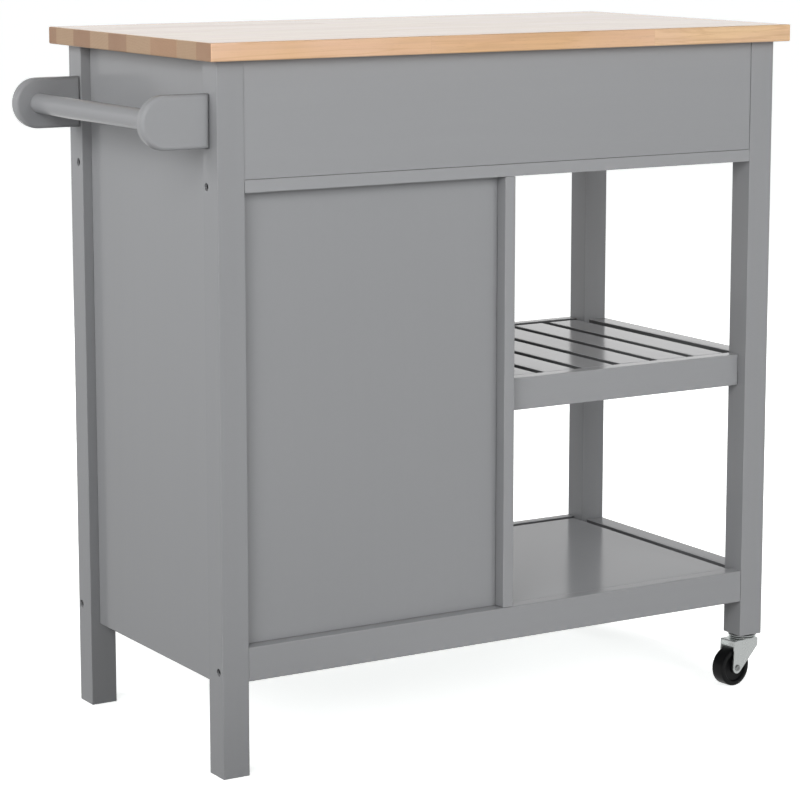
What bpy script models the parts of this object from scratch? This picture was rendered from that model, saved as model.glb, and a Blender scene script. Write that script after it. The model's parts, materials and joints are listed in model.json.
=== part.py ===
"""Kitchen island cart: a painted post-and-rail frame under a butcher-block worktop.

The right end (+X) stands on two full-length legs and carries a towel bar.
The left end (-X) rolls on two swivel casters.  The front (-Y) has two drawers
and, below the right one, a cupboard door; the left bay is open with a slatted
shelf and a bottom shelf.  Metres, +Z up, origin at the bottom centre of the box
that the whole cart fills.
"""
import math

import bmesh
import bpy
from mathutils import Matrix, Vector

# ---------------------------------------------------------------- driving dimensions
HEIGHT = 0.870
GAP = 0.0003                    # kept between pieces that touch

TOP_LENGTH = 0.833
TOP_DEPTH = 0.4405
TOP_THICK = 0.0215
TOP_BACK_OVERHANG = 0.0155
TOP_EDGE_ROUND = 0.002

FRAME_LENGTH = 0.803
FRAME_DEPTH = 0.399
POST = 0.035
CASTER_HEIGHT = 0.068

APRON_HEIGHT = 0.1375
APRON_THICK = 0.018
APRON_RECESS = 0.0012
MID_RAIL_THICK = 0.015
MID_RAIL_DEPTH = 0.055
BOTTOM_RAIL_LOW = 0.1153
BOTTOM_RAIL_HEIGHT = 0.0414
BOTTOM_RAIL_DEPTH = 0.019
FRONT_RAIL_DEPTH = 0.0145       # the front bottom rail is thinner than the back one
END_RAIL_DEPTH = 0.0275
END_RAIL_DROP = 0.0017          # the end rail's top lies this far under the shelf's

PANEL = 0.015
SIDE_PANEL_RECESS = 0.0124
SIDE_PANEL_LOW = 0.107
BACK_PANEL_THICK = 0.005
BACK_PANEL_RECESS = 0.017
SHELF_FRONT_GROOVE = 0.009      # open joints along the bottom shelf's front and left edges
SHELF_LEFT_GROOVE = 0.014

SLAT_SHELF_TOP = 0.443
SLAT_SHELF_LOW = 0.4025
SLAT_RAIL_DEPTH = 0.019
SLAT_FRONT_RAIL_DEPTH = 0.0165
SLAT_FRONT_INSET = 0.030        # the slats' front ends, from the frame's front face
SLAT_BACK_INSET = 0.015
SLAT_COUNT = 6
SLAT_WIDTH = 0.0464
SLAT_SLOT = 0.0123
SLAT_THICK = 0.015
SLAT_LEDGE = 0.015              # how far the rails reach under the slats
SLAT_FIRST_EDGE = -0.0165

CUPBOARD_SHELF_TOP = 0.430
CUPBOARD_SHELF_DEPTH = 0.328

FRONT_THICK = 0.018             # door and drawer fronts
FRONT_GAP = 0.0021
DOOR_BORDER = 0.058
DOOR_RECESS = 0.006

DRAWER_BOX_THICK = 0.012
DRAWER_BOX_LENGTH = 0.330
DRAWER_BOX_HEIGHT = 0.105
DRAWER_SIDE_CLEAR = 0.004
DRAWER_BOTTOM_THICK = 0.005
DRAWER_BOTTOM_RISE = 0.010
SUPPORT_WIDTH = 0.0355

BAR_RADIUS = 0.0127
BAR_OUT = 0.0555                # bar axis, from the posts' outer faces
BAR_HEIGHT = 0.779
BAR_SOCKET = 0.006
BRACKET_RADIUS = 0.0315
BRACKET_THICK = 0.0165
BRACKET_INSET = 0.0166          # from the front and back faces of the posts
BRACKET_ROUND = 0.0045

BOLT_HOLE_RADIUS = 0.0046
BOLT_HOLE_DEPTH = 0.007
BOLT_MID_HEIGHT = 0.7025
BOLT_LOW_HEIGHT = 0.129
BOLT_FRONT_INSETS = (0.0225, 0.0077)    # middle and low holes, from the post's outer face
BOLT_BACK_INSETS = (0.0280, 0.0107)

WHEEL_RADIUS = 0.025
WHEEL_HALF_WIDTH = 0.010
CASTER_TRAIL = 0.021
CASTER_REST_ANGLE = math.radians(7.6)
FORK_HALF_WIDTH = 0.0132
FORK_SHEET = 0.002
FORK_TOP = 0.0615
FORK_HEEL = -0.016              # the fork's trailing edge, from the swivel axis
FORK_HEEL_HEIGHT = 0.011
FORK_TOE = 0.0055               # the fork's top front corner, ahead of the axle
FORK_TIP_RADIUS = 0.0075
FORK_FOLD_ROUND = 0.003
RACE_RADIUS = 0.0185
RACE_HEIGHT = 0.003             # the upper race
RACE_CLEARANCE = 0.0005
STEM_RADIUS = 0.004
STEM_LENGTH = 0.040
AXLE_RADIUS = 0.0025

HINGE_HEIGHT = 0.050
HINGE_LEAF = 0.020
HINGE_SHEET = 0.0015
HINGE_KNUCKLE = 0.0025
HINGE_PIN = 0.0011

KNOB_LENGTH = 0.0235

# ---------------------------------------------------------------- derived places
HALF_X = FRAME_LENGTH / 2
HALF_Y = FRAME_DEPTH / 2
INNER_X = HALF_X - POST
INNER_Y = HALF_Y - POST
TOP_LOW = HEIGHT - TOP_THICK
APRON_LOW = TOP_LOW - APRON_HEIGHT
MID_RAIL_LOW = APRON_LOW - MID_RAIL_THICK
BOTTOM_TOP = BOTTOM_RAIL_LOW + BOTTOM_RAIL_HEIGHT
SIDE_PANEL_X = HALF_X - SIDE_PANEL_RECESS
BAR_X = HALF_X + BAR_OUT
BRACKET_MID_Y = HALF_Y - BRACKET_INSET - BRACKET_THICK / 2
HINGE_X = INNER_X - FRONT_GAP / 2
HINGE_Y = -HALF_Y - GAP - HINGE_KNUCKLE
TOP_BACK_Y = HALF_Y + TOP_BACK_OVERHANG
TOP_FRONT_Y = TOP_BACK_Y - TOP_DEPTH

# The model's origin is the bottom centre of the whole box: the frame's own centre
# is moved by this much to put it there.
SHIFT_X = -(BAR_X + BRACKET_RADIUS - TOP_LENGTH / 2) / 2
SHIFT_Y = -(TOP_BACK_Y + TOP_FRONT_Y) / 2

PARTS_NAME = "kitchen_island_cart"
CUTTERS_NAME = "cutters"


# ---------------------------------------------------------------- scene helpers
def clear_scene():
    for item in list(bpy.data.objects):
        bpy.data.objects.remove(item, do_unlink=True)
    for group in (bpy.data.meshes, bpy.data.curves, bpy.data.materials, bpy.data.collections):
        for block in list(group):
            group.remove(block)


def new_collection(name):
    collection = bpy.data.collections.new(name)
    bpy.context.scene.collection.children.link(collection)
    return collection


def new_material(name, colour, roughness, metallic=0.0):
    material = bpy.data.materials.new(name)
    material.use_nodes = True
    shader = material.node_tree.nodes["Principled BSDF"]
    shader.inputs["Base Color"].default_value = (*colour, 1.0)
    shader.inputs["Roughness"].default_value = roughness
    shader.inputs["Metallic"].default_value = metallic
    return material


clear_scene()
PARTS = new_collection(PARTS_NAME)
CUTTERS = new_collection(CUTTERS_NAME)

PAINT = new_material("grey_lacquer", (0.300, 0.306, 0.312), 0.38)
OAK = new_material("light_wood", (0.78, 0.57, 0.38), 0.50)
DRAWER_WOOD = new_material("drawer_plywood", (0.70, 0.58, 0.42), 0.60)
ZINC = new_material("zinc_plate", (0.62, 0.65, 0.64), 0.28, 1.0)
NICKEL = new_material("satin_nickel", (0.60, 0.58, 0.55), 0.32, 1.0)
BLACK = new_material("black_rubber", (0.015, 0.015, 0.016), 0.55)
CATCH_WHITE = new_material("catch_plastic", (0.75, 0.75, 0.73), 0.45)

BODIES = {}
PIVOTS = {}


def new_body(name, pivot, parent=None, turn=0.0, own_frame=False):
    """An empty on a joint's axis.  Its pieces are given in the frame's own coordinates,
    or in the empty's when own_frame is set."""
    empty = bpy.data.objects.new(name, None)
    empty.empty_display_size = 0.03
    PARTS.objects.link(empty)
    empty.parent = parent
    empty.location = pivot
    empty.rotation_euler = (0.0, 0.0, turn)
    BODIES[name] = empty
    PIVOTS[name] = Vector((0.0, 0.0, 0.0)) if own_frame else Vector(pivot)
    return empty


def place(item, body, position, rotation=(0.0, 0.0, 0.0)):
    item.parent = BODIES[body]
    item.location = Vector(position) - PIVOTS[body]
    item.rotation_euler = rotation


def mesh_object(name, bm, material, collection=None):
    mesh = bpy.data.meshes.new(name)
    bm.to_mesh(mesh)
    bm.free()
    mesh.materials.append(material)
    item = bpy.data.objects.new(name, mesh)
    (collection or PARTS).objects.link(item)
    return item


def bevel(item, width, segments=2, by_weight=False):
    modifier = item.modifiers.new("rounded_edges", "BEVEL")
    modifier.width = width
    modifier.segments = segments
    modifier.limit_method = "WEIGHT" if by_weight else "ANGLE"
    modifier.angle_limit = math.radians(40.0)
    return modifier


def box_mesh(size):
    bm = bmesh.new()
    bmesh.ops.create_cube(bm, size=1.0, matrix=Matrix.Diagonal((*size, 1.0)))
    return bm


def board(name, low, high, material=None, body="carcass"):
    """A straight board between two opposite corners."""
    low = Vector(low)
    high = Vector(high)
    item = mesh_object(name, box_mesh(high - low), material or PAINT)
    place(item, body, (low + high) / 2)
    return item


def as_cutter(item):
    item.hide_render = True
    item.display_type = "WIRE"
    return item


def box_cutter(name, low, high, body="carcass"):
    low = Vector(low)
    high = Vector(high)
    item = mesh_object(name, box_mesh(high - low), ZINC, CUTTERS)
    place(item, body, (low + high) / 2)
    return as_cutter(item)


AXIS_TURNS = {
    "X": (0.0, math.radians(90.0), 0.0),
    "Y": (math.radians(90.0), 0.0, 0.0),
    "Z": (0.0, 0.0, 0.0),
}


def rod(name, centre, radius, length, axis, material, body="carcass", segments=32, cutter=False):
    """A plain round bar along one axis."""
    bm = bmesh.new()
    bmesh.ops.create_cone(
        bm, cap_ends=True, segments=segments, radius1=radius, radius2=radius, depth=length
    )
    item = mesh_object(name, bm, material, CUTTERS if cutter else PARTS)
    item.data.shade_smooth()
    item.data.set_sharp_from_angle(angle=math.radians(40.0))
    place(item, body, centre, AXIS_TURNS[axis])
    if cutter:
        as_cutter(item)
    return item


def combine(item, other, operation):
    modifier = item.modifiers.new(operation.lower(), "BOOLEAN")
    modifier.operation = operation
    modifier.object = other
    modifier.solver = "EXACT"


def turned(name, profile, material, body, position, rotation=(0.0, 0.0, 0.0), steps=32, closed=False,
           cutter=False):
    """A turned shape: (radius, height) points down the outer side, spun about Z."""
    bm = bmesh.new()
    corners = [bm.verts.new((radius, 0.0, height)) for radius, height in profile]
    for first, second in zip(corners, corners[1:]):
        bm.edges.new((first, second))
    if closed:
        bm.edges.new((corners[-1], corners[0]))
    item = mesh_object(name, bm, material, CUTTERS if cutter else PARTS)
    screw = item.modifiers.new("turned", "SCREW")
    screw.axis = "Z"
    screw.angle = math.tau
    screw.steps = steps
    screw.render_steps = steps
    screw.use_merge_vertices = True
    screw.merge_threshold = 0.00001
    screw.use_smooth_shade = True
    place(item, body, position, rotation)
    if cutter:
        as_cutter(item)
    return item


def outline_mesh(points, thickness):
    """The mesh of a flat outline, given in XY and thickened evenly about Z = 0."""
    curve = bpy.data.curves.new("outline", "CURVE")
    curve.dimensions = "2D"
    curve.fill_mode = "BOTH"
    curve.extrude = thickness / 2
    spline = curve.splines.new("POLY")
    spline.points.add(len(points) - 1)
    for point, (x, y) in zip(spline.points, points):
        point.co = (x, y, 0.0, 1.0)
    spline.use_cyclic_u = True
    source = bpy.data.objects.new("outline", curve)
    PARTS.objects.link(source)
    depsgraph = bpy.context.evaluated_depsgraph_get()
    mesh = bpy.data.meshes.new_from_object(source.evaluated_get(depsgraph))
    bpy.data.objects.remove(source, do_unlink=True)
    bpy.data.curves.remove(curve)
    bm = bmesh.new()
    bm.from_mesh(mesh)
    bpy.data.meshes.remove(mesh)
    bmesh.ops.remove_doubles(bm, verts=bm.verts, dist=0.00001)
    return bm


def arc(centre, radius, start, end, steps):
    """Points along a circle from one angle to another, in degrees."""
    points = []
    for step in range(steps + 1):
        angle = math.radians(start + (end - start) * step / steps)
        points.append((centre[0] + radius * math.cos(angle), centre[1] + radius * math.sin(angle)))
    return points


def weigh_edges(bm, chosen):
    """Marks for the Bevel modifier the edges for which chosen(edge) is true."""
    weights = bm.edges.layers.float.new("bevel_weight_edge")
    for edge in bm.edges:
        edge[weights] = 1.0 if chosen(edge) else 0.0


# ---------------------------------------------------------------- worktop and posts
def build_worktop():
    top = board(
        "worktop",
        (-TOP_LENGTH / 2, TOP_FRONT_Y, TOP_LOW),
        (TOP_LENGTH / 2, TOP_BACK_Y, HEIGHT),
        OAK,
    )
    bevel(top, TOP_EDGE_ROUND)


def bolt_hole(post_name, side_x, side_y, height, inset):
    centre = (side_x * HALF_X, side_y * (HALF_Y - inset), height)
    return rod(
        f"hole_{post_name}_{round(height * 1000)}", centre, BOLT_HOLE_RADIUS, 2 * BOLT_HOLE_DEPTH,
        "X", ZINC, segments=20, cutter=True,
    )


def build_post(name, side_x, side_y):
    foot = 0.0 if side_x > 0 else CASTER_HEIGHT
    near = (side_x * INNER_X, side_y * INNER_Y)
    far = (side_x * HALF_X, side_y * HALF_Y)
    low = (min(near[0], far[0]), min(near[1], far[1]), foot)
    high = (max(near[0], far[0]), max(near[1], far[1]), TOP_LOW - GAP)
    post = board(name, low, high)
    insets = BOLT_BACK_INSETS if side_y > 0 else BOLT_FRONT_INSETS
    for height, inset in zip((BOLT_MID_HEIGHT, BOLT_LOW_HEIGHT), insets):
        combine(post, bolt_hole(name, side_x, side_y, height, inset), "DIFFERENCE")
    if side_x < 0:
        centre = (side_x * (HALF_X - POST / 2), side_y * (HALF_Y - POST / 2), CASTER_HEIGHT)
        socket = rod(
            f"stem_hole_{name}", centre, STEM_RADIUS + GAP, 2 * STEM_LENGTH, "Z", ZINC,
            segments=24, cutter=True,
        )
        combine(post, socket, "DIFFERENCE")


# ---------------------------------------------------------------- rails and panels
def build_rails():
    rail_x = INNER_X - GAP
    for name, side in (("mid_rail_front", -1), ("mid_rail_back", 1)):
        edges = sorted((side * HALF_Y, side * (HALF_Y - MID_RAIL_DEPTH)))
        board(name, (-rail_x, edges[0], MID_RAIL_LOW), (rail_x, edges[1], APRON_LOW))
    board(
        "bottom_rail_front",
        (-rail_x, -HALF_Y, BOTTOM_RAIL_LOW),
        (rail_x, -HALF_Y + FRONT_RAIL_DEPTH, BOTTOM_TOP),
    )
    board(
        "bottom_rail_back",
        (-rail_x, HALF_Y - BOTTOM_RAIL_DEPTH, BOTTOM_RAIL_LOW),
        (rail_x, HALF_Y, BOTTOM_TOP),
    )
    board(
        "bottom_rail_left_end",
        (-HALF_X, -INNER_Y + GAP, BOTTOM_RAIL_LOW),
        (-HALF_X + END_RAIL_DEPTH, INNER_Y - GAP, BOTTOM_TOP - END_RAIL_DROP),
    )
    board(
        "back_apron",
        (-rail_x, HALF_Y - APRON_RECESS - APRON_THICK, APRON_LOW + GAP),
        (rail_x, HALF_Y - APRON_RECESS, TOP_LOW - GAP),
    )
    board(
        "left_end_apron",
        (-SIDE_PANEL_X, -INNER_Y + GAP, MID_RAIL_LOW),
        (-SIDE_PANEL_X + PANEL, INNER_Y - GAP, TOP_LOW - GAP),
    )


def build_panels():
    half = PANEL / 2
    board(
        "right_side_panel",
        (SIDE_PANEL_X - PANEL, -INNER_Y + GAP, SIDE_PANEL_LOW),
        (SIDE_PANEL_X, INNER_Y - GAP, TOP_LOW - GAP),
    )
    board(
        "divider_panel",
        (-half, -HALF_Y, BOTTOM_TOP + GAP),
        (half, HALF_Y, MID_RAIL_LOW - GAP),
    )
    back = HALF_Y - BACK_PANEL_RECESS
    board(
        "cupboard_back_panel",
        (half + GAP, back - BACK_PANEL_THICK, BOTTOM_TOP + GAP),
        (INNER_X - GAP, back, MID_RAIL_LOW - GAP),
    )
    board(
        "cupboard_shelf",
        (half + GAP, -CUPBOARD_SHELF_DEPTH / 2, CUPBOARD_SHELF_TOP - PANEL),
        (SIDE_PANEL_X - PANEL - GAP, CUPBOARD_SHELF_DEPTH / 2, CUPBOARD_SHELF_TOP),
    )


def build_bottom_shelf():
    """One panel between the rails, with a tongue that reaches the side panel between the posts."""
    left = -HALF_X + END_RAIL_DEPTH + SHELF_LEFT_GROOVE
    right = INNER_X - GAP
    tongue = SIDE_PANEL_X - PANEL - GAP
    front = -HALF_Y + FRONT_RAIL_DEPTH + SHELF_FRONT_GROOVE
    back = HALF_Y - BOTTOM_RAIL_DEPTH - GAP
    notch = INNER_Y - GAP
    outline = [
        (left, front), (right, front), (right, -notch), (tongue, -notch),
        (tongue, notch), (right, notch), (right, back), (left, back),
    ]
    shelf = mesh_object("bottom_shelf", outline_mesh(outline, PANEL), PAINT)
    place(shelf, "carcass", (0.0, 0.0, BOTTOM_TOP - GAP - PANEL / 2))


# ---------------------------------------------------------------- slatted shelf
def ledge_rail(name, outer_y, inner_y, slat_end, side):
    """A rail with a ledge under the slats' ends: an L section, open side up."""
    ledge_y = slat_end - side * SLAT_LEDGE
    ledge_top = SLAT_SHELF_TOP - SLAT_THICK - GAP
    left = -INNER_X + GAP
    right = -PANEL / 2 - GAP
    section = [
        (outer_y, SLAT_SHELF_LOW), (outer_y, SLAT_SHELF_TOP), (inner_y, SLAT_SHELF_TOP),
        (inner_y, ledge_top), (ledge_y, ledge_top), (ledge_y, SLAT_SHELF_LOW),
    ]
    rail = mesh_object(name, outline_mesh(section, right - left), PAINT)
    # The section's plane is turned to YZ, and its thickness runs along X.
    turn = (math.radians(90.0), 0.0, math.radians(90.0))
    place(rail, "carcass", ((left + right) / 2, 0.0, 0.0), turn)


def build_slatted_shelf():
    back_outer = HALF_Y - SLAT_BACK_INSET
    back_inner = back_outer - SLAT_RAIL_DEPTH
    slat_back = back_inner - GAP
    slat_front = -HALF_Y + SLAT_FRONT_INSET
    ledge_rail("slat_rail_back", back_outer, back_inner, slat_back, 1)
    ledge_rail("slat_rail_front", -HALF_Y, -HALF_Y + SLAT_FRONT_RAIL_DEPTH, slat_front, -1)
    board(
        "slat_rail_end",
        (-HALF_X, -INNER_Y + GAP, SLAT_SHELF_LOW),
        (-HALF_X + END_RAIL_DEPTH, INNER_Y - GAP, SLAT_SHELF_TOP),
    )
    for number in range(SLAT_COUNT):
        right = SLAT_FIRST_EDGE - number * (SLAT_WIDTH + SLAT_SLOT)
        board(
            f"slat_{number + 1}",
            (right - SLAT_WIDTH, slat_front, SLAT_SHELF_TOP - SLAT_THICK),
            (right, slat_back, SLAT_SHELF_TOP),
        )


# ---------------------------------------------------------------- drawers
def build_drawer_frame():
    half = PANEL / 2
    board(
        "drawer_partition",
        (-half, -HALF_Y, APRON_LOW + GAP),
        (half, HALF_Y - APRON_RECESS - APRON_THICK - GAP, TOP_LOW - GAP),
    )
    end = HALF_Y - MID_RAIL_DEPTH - GAP
    wall = SIDE_PANEL_X - PANEL - GAP
    spans = {
        "drawer_support_left": (-wall, -wall + SUPPORT_WIDTH),
        "drawer_support_centre": (-SUPPORT_WIDTH, SUPPORT_WIDTH),
        "drawer_support_right": (wall - SUPPORT_WIDTH, wall),
    }
    for name, (left, right) in spans.items():
        board(name, (left, -end, MID_RAIL_LOW), (right, end, APRON_LOW))


def knob(name, body, x, z):
    """A turned mushroom knob on a front's outer face, its axis along -Y."""
    length = KNOB_LENGTH
    profile = [
        (0.0, length), (0.006, length - 0.0004), (0.0105, length - 0.0018), (0.0134, length - 0.0045),
        (0.0140, length - 0.0075), (0.0128, length - 0.0105), (0.0090, length - 0.0130),
        (0.0062, length - 0.0160), (0.0058, 0.0040), (0.0068, 0.0020), (0.0090, 0.0012),
        (0.0090, 0.0), (0.0, 0.0),
    ]
    turned(name, profile, NICKEL, body, (x, -HALF_Y - GAP, z), AXIS_TURNS["Y"], steps=28)


def build_drawer(side_name, left, right):
    body = f"drawer_{side_name}"
    front_back = -HALF_Y + FRONT_THICK
    board(
        f"{body}_front",
        (left + FRONT_GAP, -HALF_Y, APRON_LOW + FRONT_GAP),
        (right - FRONT_GAP, front_back, TOP_LOW - FRONT_GAP),
        body=body,
    )
    low = APRON_LOW + GAP
    high = low + DRAWER_BOX_HEIGHT
    box_left = left + DRAWER_SIDE_CLEAR
    box_right = right - DRAWER_SIDE_CLEAR
    near = front_back + GAP
    far = near + DRAWER_BOX_LENGTH
    thick = DRAWER_BOX_THICK
    board(f"{body}_side_left", (box_left, near, low), (box_left + thick, far, high), DRAWER_WOOD, body)
    board(f"{body}_side_right", (box_right - thick, near, low), (box_right, far, high), DRAWER_WOOD, body)
    inner_left = box_left + thick + GAP
    inner_right = box_right - thick - GAP
    board(f"{body}_back", (inner_left, far - thick, low), (inner_right, far, high), DRAWER_WOOD, body)
    floor_low = low + DRAWER_BOTTOM_RISE
    board(
        f"{body}_bottom",
        (inner_left, near, floor_low),
        (inner_right, far - thick - GAP, floor_low + DRAWER_BOTTOM_THICK),
        DRAWER_WOOD, body,
    )
    knob(f"{body}_knob", body, (left + right) / 2, (APRON_LOW + TOP_LOW) / 2)


# ---------------------------------------------------------------- cupboard door
def build_door():
    left = PANEL / 2 + FRONT_GAP
    right = INNER_X - FRONT_GAP
    low = BOTTOM_TOP + FRONT_GAP
    high = MID_RAIL_LOW - FRONT_GAP
    front = -HALF_Y
    door = board("door_board", (left, front, low), (right, front + FRONT_THICK, high), body="door")
    recess = box_cutter(
        "door_recess",
        (left + DOOR_BORDER, front - DOOR_RECESS, low + DOOR_BORDER),
        (right - DOOR_BORDER, front + DOOR_RECESS, high - DOOR_BORDER),
        "door",
    )
    combine(door, recess, "DIFFERENCE")
    knob("door_knob", "door", left + DOOR_BORDER / 2, high - 0.105)
    for name, height in (("upper", high - 0.075), ("lower", low + 0.075)):
        build_hinge(name, height)
    board(
        "door_catch",
        (0.020, front + FRONT_THICK + GAP, MID_RAIL_LOW - 0.017),
        (0.062, front + FRONT_THICK + 0.016, MID_RAIL_LOW - GAP),
        CATCH_WHITE,
    )


def build_hinge(name, height):
    """A butt hinge: the post's leaf holds the pin and two end knuckles, the door's leaf
    holds the middle knuckle."""
    third = HINGE_HEIGHT / 3
    low = height - HINGE_HEIGHT / 2
    high = height + HINGE_HEIGHT / 2
    face = -HALF_Y - GAP
    axis = (HINGE_X, HINGE_Y, height)
    post_leaf = board(
        f"hinge_{name}_post_leaf",
        (HINGE_X + HINGE_PIN, face - HINGE_SHEET, low),
        (HINGE_X + HINGE_LEAF, face, high),
        NICKEL,
    )
    gap_cut = box_cutter(
        f"hinge_{name}_post_gap",
        (HINGE_X - 0.004, face - 0.006, height - third / 2 - GAP),
        (HINGE_X + HINGE_KNUCKLE + GAP, face + 0.001, height + third / 2 + GAP),
    )
    barrel = rod(f"hinge_{name}_barrel", axis, HINGE_KNUCKLE, HINGE_HEIGHT, "Z", NICKEL, cutter=True,
                 segments=20)
    pin = rod(f"hinge_{name}_pin", axis, HINGE_PIN, HINGE_HEIGHT - 0.002, "Z", NICKEL, cutter=True,
              segments=16)
    combine(post_leaf, barrel, "UNION")
    combine(post_leaf, gap_cut, "DIFFERENCE")
    combine(post_leaf, pin, "UNION")
    door_leaf = board(
        f"hinge_{name}_door_leaf",
        (HINGE_X - HINGE_LEAF, face - HINGE_SHEET, low),
        (HINGE_X - HINGE_PIN, face, high),
        NICKEL, "door",
    )
    middle = rod(f"hinge_{name}_middle", axis, HINGE_KNUCKLE, third - 2 * GAP, "Z", NICKEL, "door",
                 segments=20, cutter=True)
    bore = rod(f"hinge_{name}_bore", axis, HINGE_PIN + GAP, HINGE_HEIGHT, "Z", NICKEL, "door",
               segments=16, cutter=True)
    for end in (-1, 1):
        middle_z = height + end * third
        clear = box_cutter(
            f"hinge_{name}_door_gap_{end + 1}",
            (HINGE_X - HINGE_KNUCKLE - GAP, face - 0.006, middle_z - third / 2 - GAP),
            (HINGE_X + 0.004, face + 0.001, middle_z + third / 2 + GAP),
            "door",
        )
        combine(door_leaf, clear, "DIFFERENCE")
    combine(door_leaf, middle, "UNION")
    combine(door_leaf, bore, "DIFFERENCE")


# ---------------------------------------------------------------- towel bar
def build_towel_bar():
    length = 2 * (BRACKET_MID_Y - BRACKET_THICK / 2 + BAR_SOCKET - GAP)
    rod("towel_bar", (BAR_X, 0.0, BAR_HEIGHT), BAR_RADIUS, length, "Y", PAINT, segments=40)
    for name, side in (("towel_bracket_front", -1), ("towel_bracket_back", 1)):
        build_bracket(name, side)


def build_bracket(name, side):
    """A D-shaped block: straight at the post, half round at the outer end."""
    back = HALF_X + GAP - BAR_X
    outline = [(back, -BRACKET_RADIUS)]
    outline += arc((0.0, 0.0), BRACKET_RADIUS, -90.0, 90.0, 24)
    outline += [(back, BRACKET_RADIUS)]
    bm = outline_mesh(outline, BRACKET_THICK)
    weigh_edges(bm, is_rim)
    bracket = mesh_object(name, bm, PAINT)
    bevel(bracket, BRACKET_ROUND, segments=3, by_weight=True)
    place(bracket, "carcass", (BAR_X, side * BRACKET_MID_Y, BAR_HEIGHT), AXIS_TURNS["Y"])
    inner = side * (BRACKET_MID_Y - BRACKET_THICK / 2)
    socket = rod(
        f"{name}_socket", (BAR_X, inner, BAR_HEIGHT), BAR_RADIUS + GAP, 2 * BAR_SOCKET, "Y", PAINT,
        segments=40, cutter=True,
    )
    combine(bracket, socket, "DIFFERENCE")


def is_rim(edge):
    """True for an edge around one of the two faces of an outline."""
    first, second = edge.verts
    along_face = abs(first.co.z - second.co.z) < 0.0001
    inside_face = len({round(face.normal.z, 3) for face in edge.link_faces}) < 2
    return along_face and not inside_face


# ---------------------------------------------------------------- casters
def build_caster(place_name, side_y):
    swivel = f"caster_{place_name}_swivel"
    spin = f"caster_{place_name}_spin"
    x = -(HALF_X - POST / 2)
    y = side_y * (HALF_Y - POST / 2)
    new_body(swivel, (x, y, 0.0), BODIES["carcass"], CASTER_REST_ANGLE, own_frame=True)
    new_body(spin, (CASTER_TRAIL, 0.0, WHEEL_RADIUS), BODIES[swivel], own_frame=True)
    build_stem(f"caster_{place_name}_stem", x, y)
    build_fork(f"caster_{place_name}_fork", swivel)
    build_axle(f"caster_{place_name}_axle", swivel)
    build_wheel(f"caster_{place_name}_wheel", spin)


def build_stem(name, x, y):
    """The threaded stem with the upper race, and the rivet head that holds the fork."""
    race_high = CASTER_HEIGHT - GAP
    race_low = race_high - RACE_HEIGHT
    rivet_high = FORK_TOP - FORK_SHEET - RACE_CLEARANCE
    tip = CASTER_HEIGHT + STEM_LENGTH - 0.002
    profile = [
        (0.0, tip), (STEM_RADIUS - 0.001, tip), (STEM_RADIUS, tip - 0.001), (STEM_RADIUS, race_high),
        (RACE_RADIUS - 0.001, race_high), (RACE_RADIUS, race_high - 0.001), (RACE_RADIUS, race_low + 0.001),
        (RACE_RADIUS - 0.002, race_low), (STEM_RADIUS, race_low), (STEM_RADIUS, rivet_high),
        (0.007, rivet_high), (0.006, rivet_high - 0.0015), (0.0, rivet_high - 0.002),
    ]
    turned(name, profile, ZINC, "carcass", (x, y, 0.0), steps=32)


def touch_angle(centre, radius, point, side):
    """The bearing, in degrees, at which a line from a point meets a circle; side picks which line."""
    across = point[0] - centre[0]
    up = point[1] - centre[1]
    bearing = math.degrees(math.atan2(up, across))
    return bearing + side * math.degrees(math.acos(radius / math.hypot(across, up)))


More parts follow.
